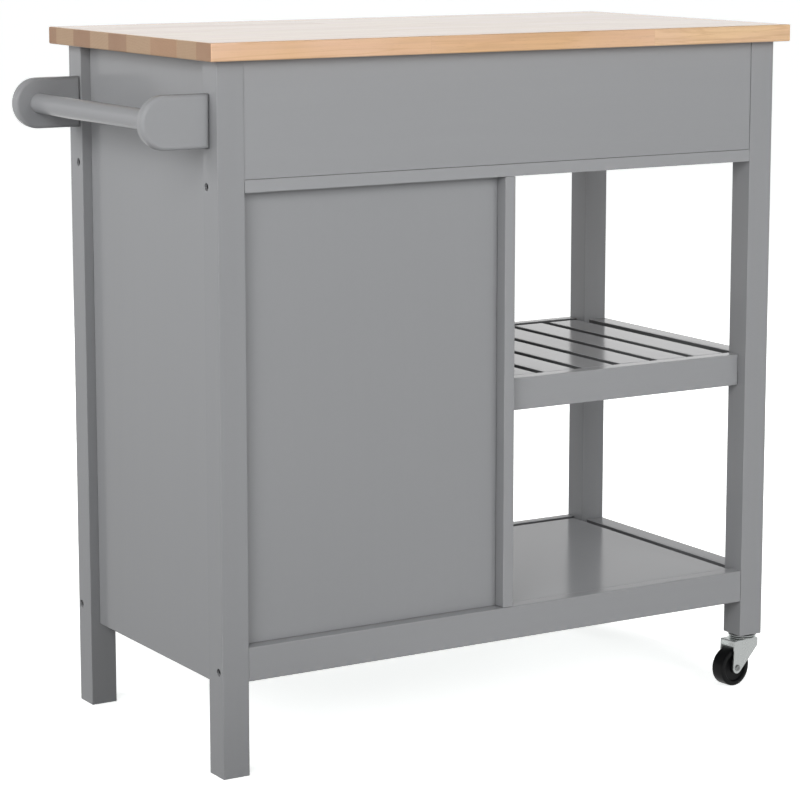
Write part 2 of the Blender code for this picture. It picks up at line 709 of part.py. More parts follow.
def build_fork(name, body):
    """A folded sheet fork: a solid of its outline, hollowed between the legs, with the lower
    race on top.  Its own frame has the trail along +X and the axle along Y."""
    axle = (CASTER_TRAIL, WHEEL_RADIUS)
    toe = (axle[0] + FORK_TOE, FORK_TOP)
    shoulder = (FORK_HEEL, FORK_TOP - FORK_HEEL_HEIGHT)
    start = touch_angle(axle, FORK_TIP_RADIUS, toe, -1)
    end = touch_angle(axle, FORK_TIP_RADIUS, shoulder, 1) - 360.0
    outline = [(FORK_HEEL, FORK_TOP), toe]
    outline += arc(axle, FORK_TIP_RADIUS, start, end, 10)
    outline += [shoulder]
    bm = outline_mesh(outline, 2 * FORK_HALF_WIDTH)
    weigh_edges(bm, lambda edge: is_rim(edge) and all(vert.co.y > FORK_TOP - 0.0001 for vert in edge.verts))
    fork = mesh_object(name, bm, ZINC)
    bevel(fork, FORK_FOLD_ROUND, segments=3, by_weight=True)
    place(fork, body, (0.0, 0.0, 0.0), AXIS_TURNS["Y"])
    hollow = FORK_HALF_WIDTH - FORK_SHEET
    gap_cut = box_cutter(
        f"{name}_hollow",
        (FORK_HEEL - 0.010, -hollow, -0.005),
        (axle[0] + 0.030, hollow, FORK_TOP - FORK_SHEET),
        body,
    )
    race_low = FORK_TOP - FORK_SHEET / 2
    race_high = CASTER_HEIGHT - GAP - RACE_HEIGHT - RACE_CLEARANCE
    neck = FORK_HALF_WIDTH - FORK_FOLD_ROUND
    race_profile = [
        (0.0, race_high), (RACE_RADIUS - 0.0015, race_high), (RACE_RADIUS, race_high - 0.0008),
        (RACE_RADIUS, FORK_TOP + 0.0010), (RACE_RADIUS - 0.001, FORK_TOP + 0.0004),
        (neck, FORK_TOP + 0.0004), (neck, race_low), (0.0, race_low),
    ]
    race = turned(f"{name}_race", race_profile, ZINC, body, (0.0, 0.0, 0.0), cutter=True)
    stem_hole = rod(f"{name}_stem_hole", (0.0, 0.0, FORK_TOP), STEM_RADIUS + GAP, 0.030, "Z", ZINC, body,
                    segments=24, cutter=True)
    axle_hole = rod(f"{name}_axle_hole", (axle[0], 0.0, axle[1]), AXLE_RADIUS + GAP, 0.040, "Y", ZINC,
                    body, segments=20, cutter=True)
    combine(fork, gap_cut, "DIFFERENCE")
    combine(fork, race, "UNION")
    combine(fork, stem_hole, "DIFFERENCE")
    combine(fork, axle_hole, "DIFFERENCE")


def build_axle(name, body):
    """A riveted axle, a head outside each leg."""
    face = FORK_HALF_WIDTH + GAP
    half = [(AXLE_RADIUS, face), (0.0044, face), (0.0040, face + 0.0009), (0.0, face + 0.0014)]
    profile = half[::-1] + [(radius, -height) for radius, height in half]
    turned(name, profile, ZINC, body, (CASTER_TRAIL, 0.0, WHEEL_RADIUS), AXIS_TURNS["Y"], steps=20)


def build_wheel(name, body):
    """A solid wheel with a bored hub, dished sides and a crowned tread."""
    bore = AXLE_RADIUS + GAP
    hub = FORK_HALF_WIDTH - FORK_SHEET - 0.0008
    edge = WHEEL_HALF_WIDTH
    half = [
        (bore, hub), (0.0070, hub), (0.0078, hub - 0.0016), (0.0090, edge - 0.0030),
        (0.0178, edge - 0.0030), (0.0192, edge - 0.0003), (0.0215, edge),
        (0.0234, edge - 0.0001), (0.0244, edge - 0.0006), (0.0249, edge - 0.0016),
        (WHEEL_RADIUS, edge - 0.0040),
    ]
    profile = half + [(radius, -height) for radius, height in reversed(half)]
    turned(name, profile, BLACK, body, (0.0, 0.0, 0.0), AXIS_TURNS["Y"], steps=44, closed=True)


# ---------------------------------------------------------------- assembly
def build():
    cart = new_body("carcass", (SHIFT_X, SHIFT_Y, 0.0), own_frame=True)
    new_body("drawer_left", (-INNER_X / 2, -HALF_Y, APRON_LOW), cart)
    new_body("drawer_right", (INNER_X / 2, -HALF_Y, APRON_LOW), cart)
    new_body("door", (HINGE_X, HINGE_Y, BOTTOM_TOP), cart)
    build_worktop()
    for name, side_x, side_y in (
        ("post_front_left", -1, -1),
        ("post_front_right", 1, -1),
        ("post_back_left", -1, 1),
        ("post_back_right", 1, 1),
    ):
        build_post(name, side_x, side_y)
    build_rails()
    build_panels()
    build_bottom_shelf()
    build_slatted_shelf()
    build_drawer_frame()
    build_drawer("left", -INNER_X, -PANEL / 2)
    build_drawer("right", PANEL / 2, INNER_X)
    build_door()
    build_towel_bar()
    build_caster("front", -1)
    build_caster("back", 1)


build()
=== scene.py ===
"""Kitchen island cart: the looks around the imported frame.

The painted boards keep their CAD shape and get rounded edges and a sprayed lacquer.
The worktop, casters, knobs, towel bar and fittings are finer pieces that stand for
their CAD nodes.
"""
import json
import math
import random

import bmesh
import bpy
from mathutils import Matrix, Vector


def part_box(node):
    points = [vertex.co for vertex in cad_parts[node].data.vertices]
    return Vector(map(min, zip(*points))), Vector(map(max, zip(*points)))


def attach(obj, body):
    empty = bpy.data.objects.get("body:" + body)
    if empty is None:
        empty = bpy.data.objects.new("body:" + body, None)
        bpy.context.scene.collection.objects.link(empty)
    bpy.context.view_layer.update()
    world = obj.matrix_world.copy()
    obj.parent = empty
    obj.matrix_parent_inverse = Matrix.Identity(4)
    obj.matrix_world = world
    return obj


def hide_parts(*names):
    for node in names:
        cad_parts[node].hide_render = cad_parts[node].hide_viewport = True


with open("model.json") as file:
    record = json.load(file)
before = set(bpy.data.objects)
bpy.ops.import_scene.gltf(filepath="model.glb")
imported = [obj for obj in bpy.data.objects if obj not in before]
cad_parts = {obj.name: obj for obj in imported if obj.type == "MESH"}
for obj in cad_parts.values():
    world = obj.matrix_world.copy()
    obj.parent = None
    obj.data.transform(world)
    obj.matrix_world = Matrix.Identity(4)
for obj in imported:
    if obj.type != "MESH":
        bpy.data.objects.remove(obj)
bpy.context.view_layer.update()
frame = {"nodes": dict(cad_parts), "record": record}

NODES = frame["nodes"]
BODIES = frame["record"]["behaviour"]["bodies"]
BODY_OF = {node: body for body, members in BODIES.items() for node in members}
SLOT_OF = {entry["node"]: entry["material_slot"] for entry in frame["record"]["subparts"]}

# ------------------------------------ driving sizes (m)
EDGE_ROUND = 0.0011             # painted boards
SHARP_ANGLE = math.radians(30.0)

STAVE_WIDTHS = (0.0235, 0.050, 0.049, 0.051, 0.050, 0.064, 0.068, 0.049, 0.036)   # from the front edge
# The staves' tones at the bar's end: 0 light, 1 dark.
STAVE_END_TONES = (0.95, 0.25, 1.00, 0.15, 1.00, 0.20, 0.60, 0.30, 0.90)
STAVE_LENGTHS = (0.20, 0.42)    # shortest and longest stave in a row
STAVE_JOINT = 0.00008           # rounding of the glued staves' hidden edges
TOP_ROUND = 0.0018
THIN_BOARD = 0.008              # boards thinner than this get the smaller rounding
THIN_BOARD_ROUND = 0.0004
TOUCH = 0.00001                 # points closer than this are in one place
LEVEL = 0.0001                  # and closer than this, on one line of an outline
FLAT_ANGLE = math.radians(0.5)
CORNER_ANGLE = math.radians(60.0)
FACING = 0.8                    # cosine above which a face looks along an axis

CAMERA_AZIMUTH = 148.74
CAMERA_ELEVATION = 9.56
CAMERA_PLACE = (1.861, 3.070, 1.048)
CAMERA_LENS = 127.5
CAMERA_SHIFT_Y = -0.05

# The studio's radiance by elevation, in degrees: bright walls, dark overhead.
STUDIO_RADIANCE = (
    (-90, 0.95), (-2, 0.95), (0, 0.95), (5, 1.04), (8, 1.32), (11, 1.20), (14, 0.52), (25, 0.36), (45, 0.20),
    (90, 0.20),
)
RADIANCE_SCALE = 2.0            # the curve node holds levels from 0 to 1
BACKDROP_BEARING = 239.0        # the studio's bright backdrop, degrees from +X
BACKDROP_EDGE = (0.45, 0.85)    # cosines from its bearing between which it fades in
DIM_LEVEL = 0.50                # everything beside it
# Softboxes: name, bearing from +X in degrees, height, watts.
SOFTBOXES = (
    ("end_softbox", -7.0, 1.9, 47.5), ("key_softbox", 40.0, 1.9, 54.0), ("back_softbox", 101.0, 1.9, 52.0),
    ("front_softbox", -88.0, 1.0, 60.0), ("caster_end_softbox", -172.0, 1.0, 36.0),
)
SOFTBOX_DISTANCE = 3.4
SOFTBOX_SIZE = 1.6
SOFTBOX_AIM = (0.0, 0.0, 0.45)
# Dark card under the cart and round the long legs' feet, seen only by bounced light.
CARD_OUTLINE = ((-0.45, -0.35), (1.60, -0.90), (1.60, 0.70), (0.20, 0.42), (0.12, 0.23), (-0.45, 0.23))
CARD_HEIGHT = 0.0004
FLOOR_HALF = 40.0
FLOOR_GLOW = (0.74, 0.83)       # the light table's glow under the cart and far from it
FLOOR_GLOW_REACH = (0.7, 3.0)   # distances from the cart between which the glow rises
WALL_RADIUS = 38.0
WALL_HEIGHT = 30.0


# ------------------------------------ node helpers
class NodeTree:
    """The nodes of a material or a world, with short calls for adding and joining them."""

    def __init__(self, owner):
        owner.use_nodes = True
        self.tree = owner.node_tree

    def add(self, kind, inputs=None, **settings):
        node = self.tree.nodes.new(kind)
        for key, value in settings.items():
            setattr(node, key, value)
        for key, value in (inputs or {}).items():
            self.set(node, key, value)
        return node

    def set(self, node, key, value):
        if isinstance(value, bpy.types.NodeSocket):
            self.tree.links.new(value, node.inputs[key])
        else:
            node.inputs[key].default_value = value

    def coordinates(self, scale):
        place = self.add("ShaderNodeTexCoord").outputs["Object"]
        return self.add("ShaderNodeMapping", {"Vector": place, "Scale": scale}).outputs["Vector"]

    def placed(self, scale):
        """Object coordinates moved by the piece's own shift, so that no two boards share a grain."""
        place = self.add("ShaderNodeTexCoord").outputs["Object"]
        shift = self.add("ShaderNodeAttribute", attribute_name="shift").outputs["Vector"]
        own = self.add("ShaderNodeVectorMath", {0: place, 1: shift}, operation="ADD").outputs["Vector"]
        return self.add("ShaderNodeMapping", {"Vector": own, "Scale": scale}).outputs["Vector"]

    def attribute(self, name):
        return self.add("ShaderNodeAttribute", attribute_name=name).outputs["Fac"]

    def noise(self, vector, detail=3.0, roughness=0.5, distortion=0.0):
        node = self.add("ShaderNodeTexNoise", {
            "Vector": vector, "Scale": 1.0, "Detail": detail, "Roughness": roughness,
            "Distortion": distortion,
        })
        return node.outputs["Fac"]

    def spread(self, value, low, high, from_low=0.3, from_high=0.7):
        node = self.add(
            "ShaderNodeMapRange",
            {"Value": value, "From Min": from_low, "From Max": from_high, "To Min": low, "To Max": high},
        )
        return node.outputs["Result"]

    def math(self, operation, first, second):
        node = self.add("ShaderNodeMath", {0: first, 1: second}, operation=operation)
        return node.outputs["Value"]

    def ramp(self, value, stops):
        node = self.add("ShaderNodeValToRGB", {"Fac": value})
        elements = node.color_ramp.elements
        while len(elements) < len(stops):
            elements.new(0.5)
        for element, (position, colour) in zip(elements, stops):
            element.position = position
            element.color = (*colour, 1.0)
        return node.outputs["Color"]

    def mix(self, factor, first, second):
        node = self.add("ShaderNodeMix", data_type="RGBA")
        for key, value in ((0, factor), (6, first), (7, second)):
            if isinstance(value, tuple):
                value = (*value, 1.0)
            self.set(node, key, value)
        return node.outputs[2]

    def bump(self, height, strength, distance, normal=None):
        node = self.add("ShaderNodeBump", {"Height": height, "Strength": strength, "Distance": distance})
        if normal is not None:
            self.set(node, "Normal", normal)
        return node.outputs["Normal"]


class Shader(NodeTree):
    """A new material and its nodes."""

    def __init__(self, name):
        self.material = bpy.data.materials.new(name)
        super().__init__(self.material)

    def finish(self, **inputs):
        for key, value in inputs.items():
            if isinstance(value, tuple) and len(value) == 3:
                value = (*value, 1.0)
            self.set(self.tree.nodes["Principled BSDF"], key.replace("_", " "), value)
        return self.material


def grain_along(axis, along, across):
    """A texture's scale in X, Y and Z for grain that runs along an axis."""
    return tuple(along if name == axis else across for name in "XYZ")


# ------------------------------------ materials
def lacquer(axis):
    """Sprayed satin lacquer: faint orange peel, a trace of the board's grain, a painted highlight on the
    rounded edges and painted shade on the slots' sides.
    """
    shader = Shader(f"grey_lacquer_{axis.lower()}")
    cloud = shader.noise(shader.placed((3.5, 3.5, 3.5)), detail=3.0)
    grain = shader.noise(
        shader.placed(grain_along(axis, 4.0, 90.0)), detail=4.0, roughness=0.55, distortion=0.2
    )
    peel = shader.noise(shader.placed((420.0, 420.0, 420.0)), detail=2.0)
    highlight_breakup = shader.noise(shader.placed((38.0, 38.0, 38.0)), detail=4.0, roughness=0.65)
    # each board's tone, partly its own and partly painted light
    base = shader.mix(shader.attribute("tone"), (0.275, 0.280, 0.289), (0.336, 0.341, 0.351))
    base = shader.mix(shader.spread(cloud, 0.0, 0.12), base, (0.340, 0.345, 0.354))
    base = shader.mix(shader.spread(grain, 0.0, 0.07), base, (0.262, 0.268, 0.276))
    # painted highlight: the rounded edges lighter, broken up by noise
    edge = shader.math("MULTIPLY", shader.attribute("edge"), shader.spread(highlight_breakup, 0.0, 0.35, 0.40, 0.72))
    base = shader.mix(edge, base, (0.385, 0.388, 0.390))
    # painted shade: the slots' sides darkened nearly to black
    base = shader.mix(shader.attribute("slot"), base, (0.045, 0.046, 0.048))
    roughness = shader.spread(cloud, 0.155, 0.19)
    roughness = shader.math("ADD", roughness, shader.spread(grain, -0.01, 0.015))
    normal = shader.bump(grain, 0.03, 0.0002)
    normal = shader.bump(peel, 0.03, 0.0002, normal)
    return shader.finish(Base_Color=base, Roughness=roughness, Normal=normal)


def worktop_wood():
    """Long grain of the glued staves: growth bands, fibres and short dark pores, each stave its own tone."""
    shader = Shader("worktop_long_grain")
    tone = shader.attribute("tone")
    bands = shader.noise(shader.placed((5.0, 130.0, 130.0)), detail=4.0, roughness=0.5, distortion=0.8)
    fibres = shader.noise(shader.placed((9.0, 420.0, 420.0)), detail=6.0, roughness=0.65, distortion=0.3)
    pores = shader.noise(shader.placed((85.0, 1500.0, 1500.0)), detail=2.0, roughness=0.5)
    blush = shader.noise(shader.placed((4.5, 11.0, 11.0)), detail=2.0)
    figure = shader.noise(shader.placed((2.6, 44.0, 44.0)), detail=2.0, distortion=1.6)
    veins = shader.math(
        "SUBTRACT", shader.spread(figure, 0.0, 1.0, 0.44, 0.50), shader.spread(figure, 0.0, 1.0, 0.50, 0.54)
    )
    base = shader.ramp(tone, [
        (0.00, (0.825, 0.570, 0.325)), (0.35, (0.830, 0.560, 0.315)),
        (0.65, (0.820, 0.535, 0.295)), (1.00, (0.710, 0.430, 0.215)),
    ])
    base = shader.mix(shader.spread(bands, 0.0, 0.60, 0.44, 0.66), base, (0.620, 0.365, 0.200))
    base = shader.mix(shader.spread(blush, 0.0, 0.55, 0.45, 0.68), base, (0.850, 0.560, 0.420))
    base = shader.mix(shader.math("MULTIPLY", veins, 0.42), base, (0.610, 0.350, 0.180))
    base = shader.mix(shader.spread(fibres, 0.0, 0.22, 0.35, 0.70), base, (0.600, 0.365, 0.200))
    pore_mask = shader.spread(pores, 0.0, 0.35, 0.63, 0.74)
    base = shader.mix(pore_mask, base, (0.430, 0.250, 0.130))
    base = shader.mix(shader.math("MULTIPLY", shader.attribute("joint"), 0.30), base, (0.430, 0.260, 0.140))
    open_pores = shader.math("MULTIPLY", pore_mask, 0.2)
    roughness = shader.math("ADD", shader.spread(fibres, 0.36, 0.46), open_pores)
    height = shader.math("SUBTRACT", fibres, pore_mask)
    return shader.finish(
        Base_Color=base, Roughness=roughness, Normal=shader.bump(height, 0.12, 0.0003), Coat_Weight=0.85,
        Coat_Roughness=0.13,
    )


def worktop_end_wood():
    """End grain of the staves: faint growth rings about a heart far outside each stave, and fine pores."""
    shader = Shader("worktop_end_grain")
    tone = shader.attribute("tone")
    rings = shader.add(
        "ShaderNodeTexWave",
        {"Vector": shader.placed((1.0, 1.0, 2.1)), "Scale": 46.0, "Distortion": 3.5, "Detail": 3.0,
         "Detail Scale": 1.4},
        wave_type="RINGS", rings_direction="X",
    )
    speckle = shader.noise(shader.placed((1100.0, 1100.0, 1100.0)), detail=2.0)
    patch = shader.noise(shader.placed((30.0, 30.0, 30.0)), detail=3.0)
    base = shader.ramp(tone, [
        (0.00, (0.440, 0.308, 0.206)), (0.35, (0.412, 0.279, 0.178)),
        (0.65, (0.395, 0.235, 0.145)), (1.00, (0.330, 0.201, 0.130)),
    ])
    base = shader.mix(shader.spread(rings.outputs["Fac"], 0.0, 0.10, 0.2, 0.9), base, (0.285, 0.175, 0.105))
    base = shader.mix(shader.spread(patch, 0.0, 0.12), base, (0.520, 0.375, 0.265))
    base = shader.mix(shader.spread(speckle, 0.0, 0.25, 0.58, 0.75), base, (0.200, 0.120, 0.070))
    base = shader.mix(shader.math("MULTIPLY", shader.attribute("joint"), 0.4), base, (0.230, 0.140, 0.085))
    return shader.finish(
        Base_Color=base, Roughness=shader.spread(speckle, 0.50, 0.62),
        Normal=shader.bump(speckle, 0.15, 0.0003),
    )


def drawer_wood(axis):
    """Unpainted birch plywood of the drawer boxes."""
    shader = Shader(f"drawer_plywood_{axis.lower()}")
    bands = shader.noise(shader.placed(grain_along(axis, 3.0, 26.0)), detail=4.0, distortion=1.2)
    fibres = shader.noise(shader.placed(grain_along(axis, 12.0, 480.0)), detail=5.0, roughness=0.65)
    base = shader.mix(shader.spread(bands, 0.0, 1.0), (0.730, 0.595, 0.420), (0.635, 0.485, 0.315))
    base = shader.mix(shader.spread(fibres, 0.0, 0.4), base, (0.500, 0.365, 0.225))
    base = shader.mix(shader.math("MULTIPLY", shader.attribute("edge"), 0.35), base, (0.420, 0.300, 0.190))
    return shader.finish(
        Base_Color=base, Roughness=shader.spread(fibres, 0.50, 0.66), Normal=shader.bump(fibres, 0.3, 0.0004)
    )


def plated(name, light, dark, low, high, metallic=1.0):
    """Plated steel: cloudy plating between two colours, a roughness from low to high, fine scratches."""
    shader = Shader(name)
    cloud = shader.noise(shader.placed((70.0, 70.0, 70.0)), detail=4.0, roughness=0.6)
    scratches = shader.noise(shader.placed((220.0, 220.0, 220.0)), detail=6.0, roughness=0.7)
    base = shader.mix(shader.spread(cloud, 0.0, 1.0), light, dark)
    roughness = shader.math("ADD", shader.spread(cloud, low, high), shader.spread(scratches, -0.03, 0.06))
    normal = shader.bump(scratches, 0.06, 0.0002)
    return shader.finish(Base_Color=base, Roughness=roughness, Metallic=metallic, Normal=normal)


def rubber():
    """The wheels' black rubber: fine moulded texture and a little dust."""
    shader = Shader("black_rubber")
    grit = shader.noise(shader.placed((900.0, 900.0, 900.0)), detail=3.0)
    dust = shader.noise(shader.placed((95.0, 95.0, 95.0)), detail=5.0, roughness=0.7)
    base = shader.mix(
        shader.spread(dust, 0.0, 0.30, 0.45, 0.8), (0.0040, 0.0042, 0.0048), (0.022, 0.022, 0.021)
    )
    return shader.finish(
        Base_Color=base, Roughness=shader.spread(dust, 0.32, 0.46), Normal=shader.bump(grit, 0.20, 0.0003),
        Specular_IOR_Level=0.30,
    )


def moulded_plastic():
    """Off-white moulded plastic of the door catch."""
    shader = Shader("catch_plastic")
    skin = shader.noise(shader.placed((600.0, 600.0, 600.0)), detail=2.0)
    cloud = shader.noise(shader.placed((40.0, 40.0, 40.0)), detail=3.0)
    base = shader.mix(shader.spread(cloud, 0.0, 1.0), (0.760, 0.755, 0.730), (0.700, 0.695, 0.665))
    return shader.finish(
        Base_Color=base, Roughness=shader.spread(cloud, 0.38, 0.48), Normal=shader.bump(skin, 0.15, 0.0002)
    )


def magnet_metal():
    """Dark sintered magnet and its steel plates."""
    shader = Shader("catch_magnet")
    grit = shader.noise(shader.placed((700.0, 700.0, 700.0)), detail=3.0)
    base = shader.mix(shader.spread(grit, 0.0, 1.0), (0.060, 0.058, 0.056), (0.120, 0.118, 0.115))
    return shader.finish(Base_Color=base, Roughness=shader.spread(grit, 0.40, 0.60), Metallic=0.8)


def floor_surface():
    """Pale matt floor, lit from below like a studio's light table."""
    shader = Shader("studio_floor")
    cloud = shader.noise(shader.coordinates((1.2, 1.2, 1.2)), detail=3.0)
    base = shader.mix(shader.spread(cloud, 0.0, 1.0), (0.905, 0.910, 0.912), (0.925, 0.928, 0.930))
    distance = shader.add(
        "ShaderNodeVectorMath", {0: shader.coordinates((1.0, 1.0, 1.0))}, operation="LENGTH"
    ).outputs["Value"]
    glow = shader.spread(distance, *FLOOR_GLOW, *FLOOR_GLOW_REACH)
    return shader.finish(
        Base_Color=base, Roughness=0.85, Emission_Color=(0.98, 1.0, 0.99), Emission_Strength=glow
    )


def backdrop():
    """The studio's white wall, as the camera sees it."""
    shader = Shader("studio_wall")
    return shader.finish(
        Base_Color=(0.9, 0.9, 0.9), Roughness=0.9, Emission_Color=(0.98, 1.0, 0.99), Emission_Strength=1.0
    )


def dark_card():
    """Matt black card."""
    shader = Shader("studio_card")
    fleck = shader.noise(shader.coordinates((60.0, 60.0, 60.0)), detail=2.0)
    base = shader.mix(shader.spread(fleck, 0.0, 1.0), (0.030, 0.030, 0.031), (0.045, 0.045, 0.046))
    return shader.finish(Base_Color=base, Roughness=0.95)


MATERIALS = {
    **{f"grey_lacquer_{axis.lower()}": lacquer(axis) for axis in "XYZ"},
    **{f"drawer_wood_{axis.lower()}": drawer_wood(axis) for axis in "XY"},
    "worktop_long": worktop_wood(),
    "worktop_end": worktop_end_wood(),
    "zinc_plate": plated(
        "zinc_plate", (0.900, 0.935, 0.925), (0.850, 0.885, 0.870), 0.18, 0.26, metallic=0.84
    ),
    "rivet_zinc": plated("rivet_zinc", (0.560, 0.580, 0.575), (0.420, 0.435, 0.430), 0.22, 0.34),
    # near black: painted shade in the races' narrow gaps
    "race_gap_shade": plated("race_gap_shade", (0.030, 0.030, 0.030), (0.015, 0.015, 0.015), 0.40, 0.60),
    "satin_nickel": plated("satin_nickel", (0.660, 0.635, 0.600), (0.575, 0.550, 0.515), 0.24, 0.34),
    "screw_nickel": plated("screw_nickel", (0.440, 0.425, 0.400), (0.330, 0.315, 0.295), 0.22, 0.34),
    "bolt_black": plated("bolt_black", (0.050, 0.050, 0.052), (0.025, 0.025, 0.026), 0.35, 0.50),
    "black_rubber": rubber(),
    "catch_plastic": moulded_plastic(),
    "catch_magnet": magnet_metal(),
    "floor": floor_surface(),
    "card": dark_card(),
    "wall": backdrop(),
}


# ------------------------------------ mesh helpers
RANDOM = random.Random(20)


def new_piece(name, bm, materials, body=None, node=None, slot=None, smooth=True, crease=None):
    """A piece that rides on a body, and stands for a CAD node if one is given.

    A crease is the angle, in degrees, from which a corner is shaded sharp.
    """
    mesh = bpy.data.meshes.new(name)
    bm.to_mesh(mesh)
    bm.free()
    for material in materials:
        mesh.materials.append(MATERIALS[material])
    if smooth:
        mesh.shade_smooth()
    if crease:
        mesh.set_sharp_from_angle(angle=math.radians(crease))
    if "shift" not in mesh.attributes:
        add_shift(mesh)
    if "tone" not in mesh.attributes:
        add_tone(mesh, node)
    piece = bpy.data.objects.new(name, mesh)
    bpy.context.scene.collection.objects.link(piece)
    if node:
        body = BODY_OF[node]
        slot = slot or SLOT_OF[node]
        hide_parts(node)
    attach(piece, body)
    return piece


# How light each board's lacquer is, 0 to 1: partly the board's own tone and partly painted light, the front
# left post darkest as painted shade of the open bay; any other board is near the middle.
BOARD_TONES_AND_PAINTED_LIGHT = {
    "post_front_left": 0.06, "post_front_right": 0.32,
    "mid_rail_back": 0.88, "back_apron": 0.62, "divider_panel": 0.70, "slat_rail_back": 0.78,
    "post_back_right": 0.30, "post_back_left": 0.52, "cupboard_back_panel": 0.42, "bottom_rail_back": 0.58,
}


def add_tone(mesh, node):
    """Gives the piece its own lightness, the same at every point."""
    tone = BOARD_TONES_AND_PAINTED_LIGHT.get(node, RANDOM.uniform(0.38, 0.56))
    layer = mesh.attributes.new("tone", "FLOAT", "POINT")
    layer.data.foreach_set("value", [tone] * len(mesh.vertices))


def add_shift(mesh):
    """Gives the piece its own place in the grain, the same at every point."""
    shift = [RANDOM.uniform(-4.0, 4.0) for _ in range(3)]
    layer = mesh.attributes.new("shift", "FLOAT_VECTOR", "POINT")
    layer.data.foreach_set("vector", shift * len(mesh.vertices))


def weighted_normals(piece):
    modifier = piece.modifiers.new("even_faces", "WEIGHTED_NORMAL")
    modifier.mode = "FACE_AREA"
    modifier.weight = 50
    modifier.keep_sharp = False


def sharp_edges(bm, angle=SHARP_ANGLE):
    return [edge for edge in bm.edges if len(edge.link_faces) == 2 and edge.calc_face_angle(0.0) > angle]


def round_edges(bm, width, segments=3, edges=None):
    """Rounds the sharp edges and marks the new faces as edge, for the materials."""
    mark = bm.faces.layers.float.get("edge") or bm.faces.layers.float.new("edge")
    result = bmesh.ops.bevel(
        bm, geom=edges or sharp_edges(bm), offset=width, segments=segments, profile=0.5,
        affect="EDGES", clamp_overlap=True,
    )
    for face in result["faces"]:
        face[mark] = 1.0


def welded_copy(node):
    """The CAD node's own surface, without the triangles that split its flat faces."""
    bm = bmesh.new()
    bm.from_mesh(NODES[node].data)
    bmesh.ops.remove_doubles(bm, verts=bm.verts, dist=TOUCH)
    bmesh.ops.dissolve_limit(
        bm, angle_limit=FLAT_ANGLE, verts=bm.verts, edges=bm.edges, delimit={"NORMAL"}
    )
    for face in bm.faces:
        face.material_index = 0
    return bm


def longest_axis(node):
    low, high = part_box(node)
    size = high - low
    return "XYZ"[max(range(3), key=lambda index: size[index])]


# Boards beside an open slot, with painted shade on the slot's sides: which way the slot's side faces, how
# deep the slot is, how dark the painted shade is.
SLAT_SHADE_SIDES = ((1.0, 0.0), 0.015, 0.75)  # a slat has a slot on both sides
SLOT_SHADE_SIDES = {
    "slat_rail_end": ((1.0, 0.0), 0.015, 0.75), "slat_rail_front": ((0.0, 1.0), 0.015, 0.75),
    "bottom_rail_left_end": ((1.0, 0.0), 0.018, 0.60), "bottom_rail_front": ((0.0, 1.0), 0.018, 0.60),
}


def paint_slot_shade(bm, node):
    """Paints shade on the slots' sides: faces that look across a slot are darkened down to the slot's depth.
    """
    across, depth, dark = SLOT_SHADE_SIDES.get(node, SLAT_SHADE_SIDES)
    top = max(vert.co.z for vert in bm.verts)
    bmesh.ops.bisect_plane(
        bm, geom=bm.verts[:] + bm.edges[:] + bm.faces[:], plane_co=(0.0, 0.0, top - depth),
        plane_no=(0.0, 0.0, 1.0),
    )
    # each face's strength of painted shade
    mark = bm.faces.layers.float.new("slot")
    for face in bm.faces:
        centre = face.calc_center_median()
        facing = face.normal.x * across[0] + face.normal.y * across[1]
        if node not in SLOT_SHADE_SIDES:
            facing = abs(facing)
        if facing > FACING and centre.z > top - depth:
            face[mark] = dark


def finished_board(node, width, axis):
    """A board of the CAD's own shape with rounded edges and its grain along an axis."""
    bm = welded_copy(node)
    round_edges(bm, width)
    # boards beside a slot get painted shade on the slot's sides
    if node in SLOT_SHADE_SIDES or node[:-1] == "slat_":
        paint_slot_shade(bm, node)
    piece = new_piece(f"{node}_finished", bm, [f"{SLOT_OF[node]}_{axis.lower()}"], node=node)
    weighted_normals(piece)


# ------------------------------------ worktop
def stave_cuts(low, high):
    """Joints along one row of staves, which are cut off where the row starts and ends."""
    cuts = [low]
    place = low + RANDOM.uniform(0.4, 1.0) * STAVE_LENGTHS[1]
    while place < high - STAVE_LENGTHS[0] * 0.5:
        cuts.append(place)
        place += RANDOM.uniform(*STAVE_LENGTHS)
    return cuts + [high]


def build_worktop():
    """Edge-glued staves, each a closed block with its own tone and grain."""
    low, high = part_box("worktop")
    bm = bmesh.new()
    tone = bm.verts.layers.float.new("tone")
    shift = bm.verts.layers.float_vector.new("shift")
    joint = bm.faces.layers.float.new("joint")
    stretch = (high.y - low.y) / sum(STAVE_WIDTHS)
    front = low.y
    for width, end_tone in zip(STAVE_WIDTHS, STAVE_END_TONES):
        back = front + width * stretch
        cuts = stave_cuts(low.x, high.x)
        for left, right in zip(cuts, cuts[1:]):
            stave = add_block(bm, (left, front, low.z), (right, back, high.z))
            stave_tone = end_tone if right == high.x else RANDOM.random()
            stave_shift = Vector([RANDOM.uniform(-3.0, 3.0) for _ in range(3)])
            for vert in stave:
                vert[tone] = stave_tone
                vert[shift] = stave_shift
        front = back
    outer = [edge for edge in bm.edges if is_outline(edge, low, high)]
    bmesh.ops.bevel(bm, geom=outer, offset=TOP_ROUND, segments=4, profile=0.5, affect="EDGES")
    inner = sharp_edges(bm, CORNER_ANGLE)
    result = bmesh.ops.bevel(bm, geom=inner, offset=STAVE_JOINT, segments=1, affect="EDGES")
    for face in result["faces"]:
        face[joint] = 1.0
    for face in bm.faces:
        face.material_index = 1 if abs(face.normal.x) > FACING else 0
    top = new_piece("worktop_staves", bm, ["worktop_long", "worktop_end"], node="worktop")
    weighted_normals(top)


def add_block(bm, low, high):
    low = Vector(low)
    high = Vector(high)
    matrix = Matrix.Translation((low + high) / 2) @ Matrix.Diagonal((*(high - low), 1.0))
    return bmesh.ops.create_cube(bm, size=1.0, matrix=matrix)["verts"]


def is_outline(edge, low, high):
    """True for an edge on two of the slab's outer faces at once."""
    middle = (edge.verts[0].co + edge.verts[1].co) / 2
    sides = sum(
        1 for value, first, last in zip(middle, low, high)
        if abs(value - first) < TOUCH or abs(value - last) < TOUCH
    )
    return sides >= 2


